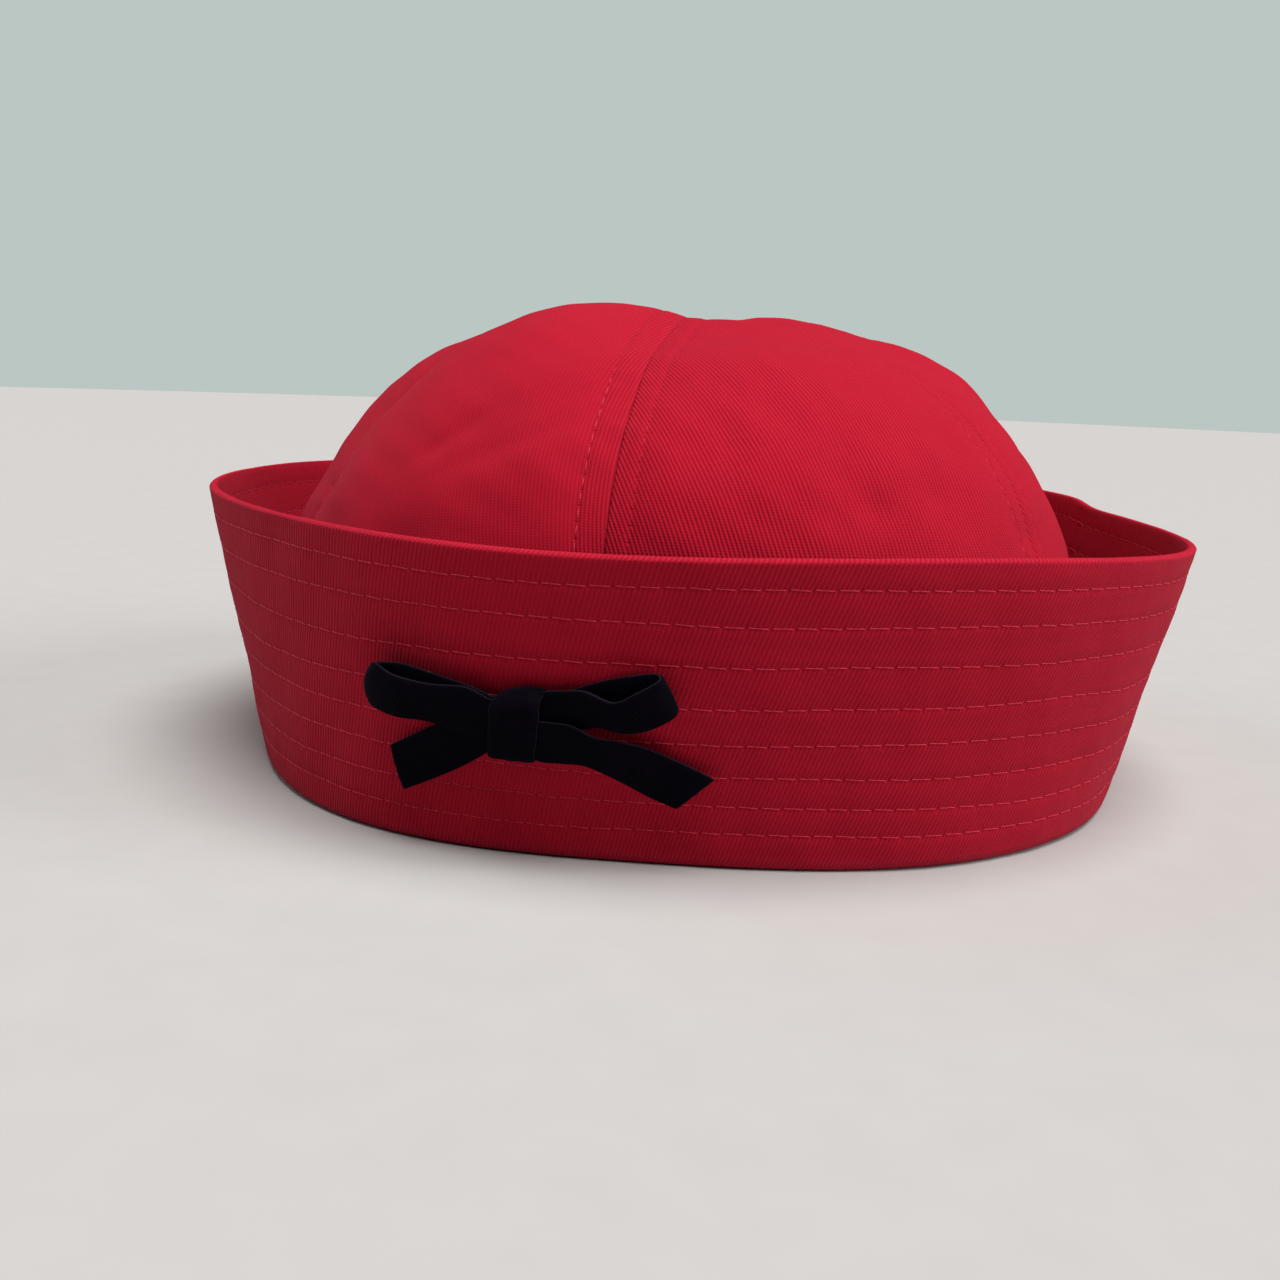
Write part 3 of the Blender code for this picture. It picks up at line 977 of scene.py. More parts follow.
    def relief(self, azimuth: Array, up: Array, point: Array) -> Array:
        """How far the worked cloth stands off the bare wall.

        Each stitch row draws in a groove, bell-shaped across the row. Between rows the cloth swells a
        little. The joining seam is a narrow groove up the wall, exp(-apart / reach) deep, with a low ridge
        beside it. Soft waves and ripples lie over all.

        Args:
            azimuth: degrees round the cap.
            up: distance up the slant.
            point: the bare wall's points there.
        Returns:
            The distance off the wall.
        """
        apart = np.abs(self.from_rows(azimuth, up)).min(axis=0)
        relief = self.quilting * (1 - bell(apart, self.quilting_reach))
        relief -= self.groove_depth * bell(apart, self.groove_reach)
        seam = np.radians(degrees_from(azimuth, self.seam_azimuth)) * self.mean_rim_radius
        relief -= self.seam_depth * np.exp(-np.abs(seam) / self.seam_reach)
        relief += self.seam_ridge * bell(seam - self.seam_ridge_place, self.seam_ridge_reach)
        ends = ease(up, 0.0, self.plain_at_fold) * (1 - ease(up, self.slant - self.plain_at_rim, self.slant))
        share = self.edge_waves + (1 - self.edge_waves) * ends
        return relief * ends + (self.waves.at(point) + self.ripples.at(point)) * share

    def face(self, azimuth: Array, up: Array, side: Side) -> tuple[Array, Array]:
        """The worked wall on one face.

        Args:
            azimuth: degrees round the cap.
            up: distance up the slant.
            side: which face of the wall.
        Returns:
            The points, and the normals out of that face.
        """
        point, normal = self.section(azimuth, up, side)
        facing = normal * side.value
        share = 1.0 if side is Side.OUTER else self.inner_relief
        return point + facing * share * self.relief(azimuth, up, point)[..., None], facing

    def rim_round(self, outer: Array, inner: Array) -> Array:
        """Rows over the rim: half an ellipse from the wall's outer face to its inner one.

        Args:
            outer: the last two rows of the outer face.
            inner: the first row of the inner face.
        Returns:
            The rows between the two faces.
        """
        middle, across = (outer[1] + inner) / 2, (outer[1] - inner) / 2
        rise = unit(outer[1] - outer[0]) * np.linalg.norm(across, axis=-1, keepdims=True) * self.rim_roundness
        angle = np.linspace(0, math.pi, self.rim_rows + 2)[1:-1, None, None]
        return middle + across * np.cos(angle) + rise * np.sin(angle)

    def profile(self, azimuth: Array) -> tuple[Array, Array]:
        """The closed section at each azimuth, from the hem's inner edge out, up, over the rim and back.

        The hem is level and the wall slants. Between them the cloth bends along an arc that touches both,
        about a line fold_bend above the ground. The hem's inner edge is half round.

        Args:
            azimuth: degrees round the cap, one for each column.
        Returns:
            The points, and the distance up the slant that each of them stands for.
        """
        fold, rim, height = self.ring(azimuth)
        lean = np.arctan2(height, rim - fold)
        start = self.fold_bend * np.tan(lean / 2)
        centre, half = fold - start, self.wall / 2
        edge = fold - self.hem_width + half
        hem = edge + (centre - edge) * np.linspace(0, 1, self.hem_rows + 1)[:, None]
        turn = lean * np.linspace(0, 1, self.bend_rows + 1)[:, None]
        lip = np.linspace(0, math.pi, self.lip_rows + 2)[1:-1, None]

        bottom, top = start.mean(), self.slant - half * self.rim_roundness
        outer_up = bottom + (top - bottom) * np.linspace(0, 1, self.wall_rows)
        inner_up = bottom + (top - bottom) * np.linspace(1, 0, self.inner_rows)
        outer, _ = self.face(azimuth[None, :], outer_up[:, None] + 0 * azimuth, Side.OUTER)
        inner, _ = self.face(azimuth[None, :], inner_up[:, None] + 0 * azimuth, Side.INNER)
        bends = [at_height(centre + radius * np.sin(turn), azimuth, self.fold_bend - radius * np.cos(turn))
                 for radius in (self.fold_bend, self.fold_bend - self.wall)]
        points = np.concatenate([
            at_height(hem[:-1], azimuth, 0.0),
            bends[0][:-1],
            outer,
            self.rim_round(outer[-2:], inner[0]),
            inner,
            bends[1][-2::-1],
            at_height(hem[-2::-1], azimuth, self.wall),
            at_height(edge - half * np.sin(lip), azimuth, half + half * np.cos(lip)),
        ])

        hem_up = np.linspace(*self.hem_up, self.hem_rows)
        bend_up = np.linspace(*self.bend_up, self.bend_rows)
        rim_up = self.slant + np.linspace(0, self.rim_girth, self.rim_rows)
        lip_up = np.full(self.lip_rows, self.lip_up)
        up = np.concatenate([hem_up, bend_up, outer_up, rim_up, inner_up,
                             bend_up[::-1], hem_up[::-1], lip_up])
        return points, up[:, None] + 0 * azimuth

    def grid(self) -> Grid:
        """The whole brim as one closed ring of cloth, which starts and ends at its joining seam.

        Returns:
            The ring. Its marks say where the rim and the fold are rubbed, and how bold the ribs are, which
            also sets how dark their painted groove shade is.
        """
        azimuth = self.seam_azimuth - 360.0 + np.linspace(0, 360.0, self.columns + 1)
        points, up = self.profile(azimuth[:-1])
        past_rim = up - self.slant
        wear = self.rim_wear * bell(past_rim - self.rim_wear_place, self.rim_wear_reach)
        wear = wear + self.fold_wear * bell(up - self.fold_wear_place, self.fold_wear_reach)
        bold_rim = 1 + self.rim_boldness * bell(past_rim - self.rim_boldness_place, self.rim_boldness_reach)
        bold = (self.boldness + drift_at(self.bolder, azimuth[:-1])) * bold_rim

        up = np.pad(up, ((0, 1), (0, 1)), mode="wrap")
        spread = np.broadcast_to(azimuth, up.shape)
        weave = self.lay.count(np.radians(spread) * self.mean_fold_radius, up)
        maps = {"weave": at_corners(weave), "stitching": self.stitching(spread, up)}
        return Grid(points, maps, {"wear": wear, "boldness": bold}, closes_rows=True, closes_columns=True)

    def threads(self, side: Side, thread: Thread, seed: int) -> tuple[Array, Array]:
        """The middle lines of all the stitches on one face.

        Args:
            side: which face of the wall.
            thread: the stitches' shape.
            seed: starts the draws of each stitch's length and tilt.
        Returns:
            Points along each stitch on the cloth, and the cloth's normals there.
        """
        random = np.random.default_rng(seed)
        run = thread.run()
        centres, normals = [], []
        for row in range(len(self.stitch_rows)):
            count = self.row_count(row)
            number = np.arange(count) + 0.5 - self.row_phase * row
            reach = thread.share / 2 * random.uniform(*self.stitch_lengths, count)
            azimuth = (number[:, None] + reach[:, None] * run) * 360.0 / count
            tilt = thread.slant * random.uniform(*self.stitch_tilts, count)
            up = self.row_height(row, azimuth) - side.value * tilt[:, None] * run
            point, normal = self.face(azimuth, up, side)
            centres.append(point)
            normals.append(normal)
        return np.concatenate(centres), np.concatenate(normals)


# ---- The crown ----
@dataclass(frozen=True)
class MeridianRow:
    """The crown's section: at a height, its share of the mean base radius."""

    height: float
    reach: float


@dataclass(frozen=True)
class Gore:
    """One gore: the solid it dresses, where it starts, how far its middle swells, and its twill.

    boldness is how strongly the ribs stand out: it scales their bump and their painted groove shade, and it
    differs from gore to gore as painted light, for how the light falls across each gore's ribs. At its start
    the seam's fold is start_fold times as deep and wide. At its end the stitches lie end_sink lower, and the
    ribs on the strip between the seam and the stitches are bolder by the share end_boldness.
    """

    node: str
    start_azimuth: float
    puff: float
    lay: TwillLay = TwillLay(-14.0, 0.00078)
    boldness: float = 1.2
    start_fold: float = 1.0
    end_sink: float = 0.0
    end_boldness: float = 0.0


@dataclass(frozen=True)
class SoftBump:
    """A soft bump or dent of the top: its place in plan, then its height and spread."""

    azimuth: float
    reach: float
    height: float
    spread: float


@dataclass(frozen=True)
class Crease:
    """A soft fold of the cloth from one place to another, each an azimuth and a height."""

    start: tuple[float, float]
    end: tuple[float, float]
    depth: float
    width: float


@dataclass(frozen=True)
class Crown:
    """The crown: six gores of cloth sewn together, each seam stitched down on both sides.

    Arcs are distances from a gore's nearest seam. turning_edge and strip_edge are arcs from the stitches
    of that seam. slope_step is the step that slopes are read over, as a share of the section's length or
    in degrees. seam_gap is the share of a gore's width that each seam leaves free.
    """

    wall: float = 0.0014
    inset: float = 0.0029
    gore_angle: float = 60.0
    apex_shift: tuple[float, float] = (0.0011, -0.0026)
    plan_hold_height: float = 0.075
    top_lengthening: float = 0.029
    swell_height: float = 0.040
    seam_draw: float = 0.0010
    seam_draw_reach: float = 0.0070
    bump_full_height: float = 0.060
    bump_fade_power: int = 4
    meridian_rows: tuple[MeridianRow, ...] = (
        MeridianRow(0.0025, 1.0),
        MeridianRow(0.0250, 0.965),
        MeridianRow(0.0500, 0.967),
        MeridianRow(0.0658, 0.898),
        MeridianRow(0.0786, 0.781),
        MeridianRow(0.0875, 0.636),
        MeridianRow(0.0933, 0.407),
        MeridianRow(0.0967, 0.270),
        MeridianRow(0.0973, 0.0),
    )
    # Each gore's boldness is partly painted light: higher where the light falls across the gore's ribs, lower
    # where it runs along them.
    gores: tuple[Gore, ...] = (
        Gore("crown_panel_front_right", 0.0, 0.0007, TwillLay(-12.5, 0.00077), 1.45, end_sink=0.00008),
        Gore("crown_panel_right", 60.0, -0.0032, start_fold=2.0),
        Gore("crown_panel_back_right", 120.0, 0.0038),
        Gore("crown_panel_back_left", 180.0, 0.0024),
        Gore("crown_panel_left", 240.0, 0.0055),
        Gore("crown_panel_front_left", 300.0, 0.0020, TwillLay(-17.5, 0.00067), 0.75, end_boldness=0.9),
    )
    bumps: tuple[SoftBump, ...] = (
        SoftBump(-34.5, 0.448, 0.0050, 0.022),
        SoftBump(-66.5, 0.890, -0.0032, 0.024),
        SoftBump(113.9, 0.508, 0.0045, 0.024),
        SoftBump(99.0, 0.670, 0.0012, 0.0058),
        SoftBump(91.0, 0.860, -0.0008, 0.009),
        SoftBump(145.0, 0.260, 0.0006, 0.009),
        SoftBump(124.5, 0.395, 0.0005, 0.007),
        SoftBump(-47.0, 0.560, -0.0005, 0.006),
        SoftBump(-60.0, 0.590, 0.0004, 0.005),
        SoftBump(-82.0, 0.890, -0.0006, 0.007),
        SoftBump(-60.0, 0.900, 0.0007, 0.008),
    )
    creases: tuple[Crease, ...] = (
        Crease((-28.0, 0.0695), (-20.0, 0.0780), 0.00045, 0.0020),
        Crease((-22.0, 0.0680), (-7.5, 0.0770), 0.00045, 0.0022),
        Crease((44.0, 0.0600), (50.0, 0.0820), 0.00050, 0.0045),
        Crease((27.5, 0.0735), (33.0, 0.0620), 0.00075, 0.0055),
        Crease((8.0, 0.0740), (15.0, 0.0765), 0.00045, 0.0040),
        Crease((18.0, 0.0830), (24.0, 0.0785), 0.00045, 0.0040),
        Crease((38.5, 0.0720), (43.5, 0.0650), 0.00055, 0.0045),
    )
    crease_fade: float = 0.3
    first_row: float = 0.0040
    last_row: float = 0.0051
    stitch_pitch: float = 0.0031
    stitch_lengths: tuple[float, float] = (0.85, 1.03)
    stitch_tilts: tuple[float, float] = (-0.6, 1.4)
    first_stitch: int = 2
    missing_at_apex: int = 4
    last_stitch_share: float = 0.42
    allowance: float = 0.00017
    turning_edge: tuple[float, float] = (-0.0009, 0.0005)
    turning_depth: float = 0.0003
    turning_end: tuple[float, float] = (0.0055, 0.0075)
    row_depth: float = 0.00015
    row_reach: float = 0.00070
    pucker_reach: float = 0.00042
    pucker_height: float = 0.00007
    pucker_length: float = 0.0068
    pucker_sway: float = 3.0
    pucker_sway_rate: float = 23.0
    pucker_place: float = 0.6
    pucker_spread: float = 0.0035
    plain_base: float = 0.03
    fold_depth: float = 0.00040
    fold_reach: float = 0.00026
    fold_share_at_apex: float = 0.30
    fold_fade: tuple[float, float] = (0.48, 0.72)
    # seam_boldness makes the ribs bolder beside each gore's start seam: a deeper bump, and a darker painted
    # groove shade that paints a dark shadow line along the seam.
    seam_boldness: float = 0.45
    seam_boldness_reach: float = 0.0022
    strip_edge: tuple[float, float] = (-0.0005, 0.0010)
    seam_wear: float = 0.08
    seam_wear_place: float = 0.0006
    seam_wear_reach: float = 0.0005
    stitch_sink: float = 0.00014
    sink_rise: tuple[float, float] = (0.52, 0.66)
    start_sink: float = 0.000084
    near_seam: tuple[float, ...] = (0.0, 0.00008, 0.00018, 0.00032, 0.00052, 0.00085, 0.0013, 0.0019,
                                    0.0026, 0.0033, 0.0038, 0.0043, 0.0048, 0.0053, 0.0060)
    narrow_gore: float = 3.0
    seam_gap: float = 0.0001
    middle_columns: int = 70
    rows: int = 125
    last_rise: float = 0.9985
    slope_step: float = 0.001
    waves: SoftWaves = SoftWaves(0.00022, 0.016, 0.050, 11)
    ripples: SoftWaves = SoftWaves(0.00006, 0.006, 0.012, 12)

    def mean_radius(self) -> float:
        """The mean outer radius at the base."""
        return sum(station.fold_radius for station in BRIM_STATIONS) / len(BRIM_STATIONS) - self.inset

    def gore_width(self, reach: Array) -> Array:
        """How wide a gore is where the section has this reach."""
        return math.radians(self.gore_angle) * self.mean_radius() * reach

    def meridian(self, rise: Array) -> tuple[Array, Array, float]:
        """The section: the smooth curve through its rows, by the length of the straight lines between them.

        Args:
            rise: shares of that length, from the base.
        Returns:
            The heights and the reaches there, and the whole length.
        """
        heights = np.array([row.height for row in self.meridian_rows])
        reaches = np.array([row.reach for row in self.meridian_rows])
        steps = np.hypot(np.diff(heights), np.diff(reaches) * self.mean_radius())
        length = np.concatenate([[0.0], np.cumsum(steps)])
        share = length / length[-1]
        height = smooth_curve(share, heights, rise)
        return height, np.maximum(smooth_curve(share, reaches, rise), 0.0), length[-1]

    def square_out(self, rise: Array) -> tuple[Array, Array]:
        """The direction out of the section, square to the line between two near places on it.

        Args:
            rise: shares of the section's length.
        Returns:
            The outward and the upward part of the direction.
        """
        high_ahead, wide_ahead, _ = self.meridian(np.minimum(rise + self.slope_step, 1.0))
        high_behind, wide_behind, _ = self.meridian(np.maximum(rise - self.slope_step, 0.0))
        climb, spread = high_ahead - high_behind, (wide_ahead - wide_behind) * self.mean_radius()
        apart = np.hypot(climb, spread)
        return climb / apart, -spread / apart

    def stand(self, azimuth: Array, height: Array, reach: Array) -> Array:
        """How far the bare face stands off the plain section.

        A gore swells as puff * (1 - t^2) * sqrt(reach), for t from 0 at its middle to 1 at its seams. The
        seams are drawn in as bells, and the bumps are bells in plan.

        Args:
            azimuth: degrees round the cap.
            height: the section's height there.
            reach: the section's reach there.
        Returns:
            The distance, square to the section.
        """
        swell = ease(height / self.swell_height)
        place = azimuth / self.gore_angle
        from_seam = np.abs(place - np.round(place))
        gore = np.mod(np.floor(place), len(self.gores)).astype(int)
        puff = np.array([row.puff for row in self.gores])[gore]
        arc = from_seam * self.gore_width(reach)
        stand = puff * (1 - (1 - 2 * from_seam) ** 2) * swell * np.sqrt(reach)
        stand = stand - self.seam_draw * bell(arc, self.seam_draw_reach) * swell
        plan_x, plan_y = in_plan(reach, azimuth)
        fade = np.clip(height / self.bump_full_height, 0, 1) ** self.bump_fade_power
        for bump in self.bumps:
            bump_x, bump_y = in_plan(bump.reach, bump.azimuth)
            apart = np.hypot(plan_x - bump_x, plan_y - bump_y) * self.mean_radius()
            stand = stand + bump.height * bell(apart, bump.spread) * fade
        return stand

    def form(self, azimuth: Array, rise: Array) -> Array:
        """Points of the bare outer face, which lies close to the solid's.

        The section's reach scales the plan, which goes from the fold's uneven ring at the base to a
        slightly long round one above. The plan moves towards the apex as the square of its height.

        Args:
            azimuth: degrees round the cap.
            rise: shares of the section's length.
        Returns:
            The points.
        """
        mean_radius = self.mean_radius()
        height, reach, _ = self.meridian(rise)
        hold = 1 - ease(height / self.plan_hold_height)
        uneven = brim_size("fold_radius", azimuth) - self.inset - mean_radius
        radius = (mean_radius + uneven * hold) * reach
        radius = radius * (1 + self.top_lengthening * np.cos(2 * np.radians(azimuth)) * (1 - hold))
        out, upward = self.square_out(rise)
        stand = self.stand(azimuth, height, reach)
        lean = np.clip(height / self.meridian_rows[-1].height, 0, 1) ** 2
        shift = lean[..., None] * np.array([*self.apex_shift, 0.0])
        return at_height(radius + stand * out, azimuth, height + stand * upward) + shift

    def crease_relief(self, azimuth: Array, height: Array) -> Array:
        """How far the creases press the cloth in: bells across each line, faded out round its two ends.

        Args:
            azimuth: degrees round the cap.
            height: the bare face's height there.
        Returns:
            The relief, which is below 0 along the creases.
        """
        relief = np.zeros(np.broadcast(azimuth, height).shape)
        degree, fade = math.radians(1.0) * self.mean_radius(), self.crease_fade
        for crease in self.creases:
            line = (np.array(crease.end) - np.array(crease.start)) * np.array([degree, 1.0])
            right = degrees_from(azimuth, crease.start[0]) * degree
            up = height - crease.start[1] + 0 * right
            along = (right * line[0] + up * line[1]) / (line @ line)
            across = (right * line[1] - up * line[0]) / np.linalg.norm(line)
            taper = ease(along, -fade, fade) * (1 - ease(along, 1 - fade, 1 + fade))
            relief -= crease.depth * bell(across, crease.width) * taper
        return relief

    def seam_rows(self, share: Array, rise: Array) -> tuple[Array, Array]:
        """How far the cloth is from its nearest seam, and how far that seam's stitches are from it.

        Args:
            share: how far across the gore, from 0 to 1.
            rise: shares of the section's length.
        Returns:
            The two arcs.
        """
        _, reach, _ = self.meridian(rise)
        row = np.where(share < 0.5, self.first_row, self.last_row)
        return np.minimum(share, 1 - share) * self.gore_width(reach), row

    def relief(self, gore: Gore, share: Array, rise: Array, point: Array) -> Array:
        """How far the worked cloth stands off the bare crown.

        The turnings under the cloth raise it from the seam to the stitch row, which presses a groove in.
        At the seam the cloth turns down into the fold, as exp(-arc / reach). Creases, soft waves and
        small puckers square to the seam lie over all. The puckers are a bell across the strip, times
        sin(2 pi along / length + sway * sin(rate * rise)).

        Args:
            gore: which gore.
            share: how far across it, from 0 to 1.
            rise: shares of the section's length.
            point: the bare face's points there.
        Returns:
            The distance off the bare face.
        """
        arc, row = self.seam_rows(share, rise)
        _, _, length = self.meridian(rise)
        relief = self.allowance * (1 - ease(arc - row, *self.turning_edge))
        relief = relief - self.row_depth * bell(arc - row, self.row_reach)
        deep = 1 - (1 - self.fold_share_at_apex) * ease(rise, *self.fold_fade)
        fold = np.where(share < 0.5, gore.start_fold, 1.0)
        relief = relief - self.fold_depth * fold * deep * np.exp(-arc / (self.fold_reach * fold))
        sway = self.pucker_sway * np.sin(self.pucker_sway_rate * rise)
        pucker = self.pucker_height * np.sin(TURN * rise * length / self.pucker_length + sway)
        relief = relief + pucker * bell(arc - self.pucker_place * row, self.pucker_spread)
        relief = relief + self.crease_relief(gore.start_azimuth + self.gore_angle * share, point[..., 2])
        relief = relief + self.waves.at(point) + self.ripples.at(point)
        return relief * ease(rise, 0.0, self.plain_base)

    def face(self, gore: Gore, share: Array, rise: Array) -> tuple[Array, Array, Array]:
        """The outer face of a gore.

        Args:
            gore: which gore.
            share: how far across it, from 0 to 1, as a grid's columns.
            rise: how far up its length, from 0 to 1, as a grid's rows.
        Returns:
            The worked face's points, and the bare face's points and normals.
        """
        azimuth = gore.start_azimuth + self.gore_angle * share
        step = self.slope_step
        bare = self.form(azimuth, rise)
        over = self.form(azimuth + step, rise) - self.form(azimuth - step, rise)
        up = self.form(azimuth, np.minimum(rise + step, 1)) - self.form(azimuth, np.maximum(rise - step, 0))
        normal = unit(np.cross(over, up))
        return bare + normal * self.relief(gore, share, rise, bare)[..., None], bare, normal

    def shares(self, width: Array) -> Array:
        """Where the columns lie across a gore, closer together beside the seams.

        Beside each seam they lie at set arcs from it, which shrink together where the gore gets narrow,
        and between those they are even.

        Args:
            width: the gore's width in each row.
        Returns:
            The columns' shares of the width, in each row.
        """
        shrink = np.minimum(1.0, width / (self.narrow_gore * self.near_seam[-1]))
        near = self.seam_gap + np.array(self.near_seam) * shrink / width * (1 - 2 * self.seam_gap)
        even = np.linspace(0, 1, self.middle_columns + 2)[1:-1]
        middle = near[:, -1:] + (1 - 2 * near[:, -1:]) * even
        return np.concatenate([near, middle, 1 - near[:, ::-1]], axis=1)

    def grid(self, gore: Gore) -> Grid:
        """A gore as a closed wall of cloth, plain inside and thicker where the turnings lie.

        Args:
            gore: which gore.
        Returns:
            The wall. Its marks say where it is rubbed, and how bold the ribs are, which also sets their
            painted groove shade and the painted shadow line beside each start seam.
        """
        rise = np.linspace(0.0, self.last_rise, self.rows)[:, None]
        _, reach, length = self.meridian(rise)
        share = self.shares(self.gore_width(reach))
        rise, width = rise + 0 * share, self.gore_width(reach) + 0 * share
        outer, bare, normal = self.face(gore, share, rise)
        arc, row = self.seam_rows(share, rise)
        depth = self.wall + self.turning_depth * (1 - ease(arc, *self.turning_end))
        inner = bare - normal * depth[..., None]

        along = rise * length
        stitching = np.stack([along / self.stitch_pitch, (arc - row) / self.pucker_reach], axis=-1)
        weave = gore.lay.count((share - 0.5) * width, along)
        wear = self.seam_wear * bell(arc - self.seam_wear_place, self.seam_wear_reach)
        # Beside each start seam the bolder ribs paint a dark shadow line, on top of their deeper bump.
        at_start = self.seam_boldness * bell(arc, self.seam_boldness_reach)
        at_end = gore.end_boldness * (1 - ease(arc - row, *self.strip_edge))
        bold = gore.boldness * (1 + np.where(share < 0.5, at_start, at_end))
        maps = {"weave": both_sides(weave), "stitching": both_sides(stitching)}
        marks = {"wear": two_sided(wear, 0 * wear), "boldness": two_sided(bold, bold)}
        return Grid(two_sided(outer, inner), maps, marks, closes_columns=True, caps=True)

    def threads(self, thread: Thread, seed: int) -> tuple[Array, Array]:
        """The middle lines of the stitches on both sides of every seam.

        Args:
            thread: the stitches' shape.
            seed: starts the draws of each stitch's length and tilt.
        Returns:
            Points along each stitch on the cloth, and the bare face's normals there.
        """
        random = np.random.default_rng(seed)
        run = thread.run()
        _, _, length = self.meridian(np.array(0.5))
        number = np.arange(self.first_stitch, int(length / self.stitch_pitch) - self.missing_at_apex) + 0.5
        centres, normals = [], []
        for gore in self.gores:
            for row, at_start in ((self.first_row, True), (self.last_row, False)):
                reach = thread.share / 2 * random.uniform(*self.stitch_lengths, len(number))
                rise = (number[:, None] + reach[:, None] * run) * self.stitch_pitch / length
                tilt = thread.slant * random.uniform(*self.stitch_tilts, len(number))
                _, wide, _ = self.meridian(rise)
                share = (row + tilt[:, None] * run) / self.gore_width(wide)
                keep = share.max(axis=1) < self.last_stitch_share
                share, rise = (share if at_start else 1 - share)[keep], rise[keep]
                point, _, normal = self.face(gore, share, rise)
                sunk = self.stitch_sink * ease(rise, *self.sink_rise)[..., None]
                sunk = sunk + (self.start_sink if at_start else gore.end_sink)
                centres.append(point - normal * sunk)
                normals.append(normal)
        return np.concatenate(centres), np.concatenate(normals)


# ---- The bow ----
@dataclass(frozen=True)
class RibbonRow:
    """A ribbon's place at a distance along its line.

    side shifts its middle square to the line, lift is its distance from the brim, width is its own, skew
    moves its upper edge on along the line and its lower edge back, tilt lifts its upper edge, and round
    draws both edges back.
    """

    along: float
    side: float
    lift: float
    width: float
    skew: float = 0.0
    tilt: float = 0.0
    round: float = 0.0


@dataclass(frozen=True)
class Ribbon:
    """A stretch of ribbon: the solid it dresses, its root and the angle of its line on the brim."""

    node: str
    root: tuple[float, float]
    angle: float
    rows: tuple[RibbonRow, ...]
    camber: float = 0.0003
    creases: int = 0
    cut_end: bool = False


FIRST = 0.0010
SECOND = 0.0024
THIRD = 0.0038
KNOT_TOP = 0.0054

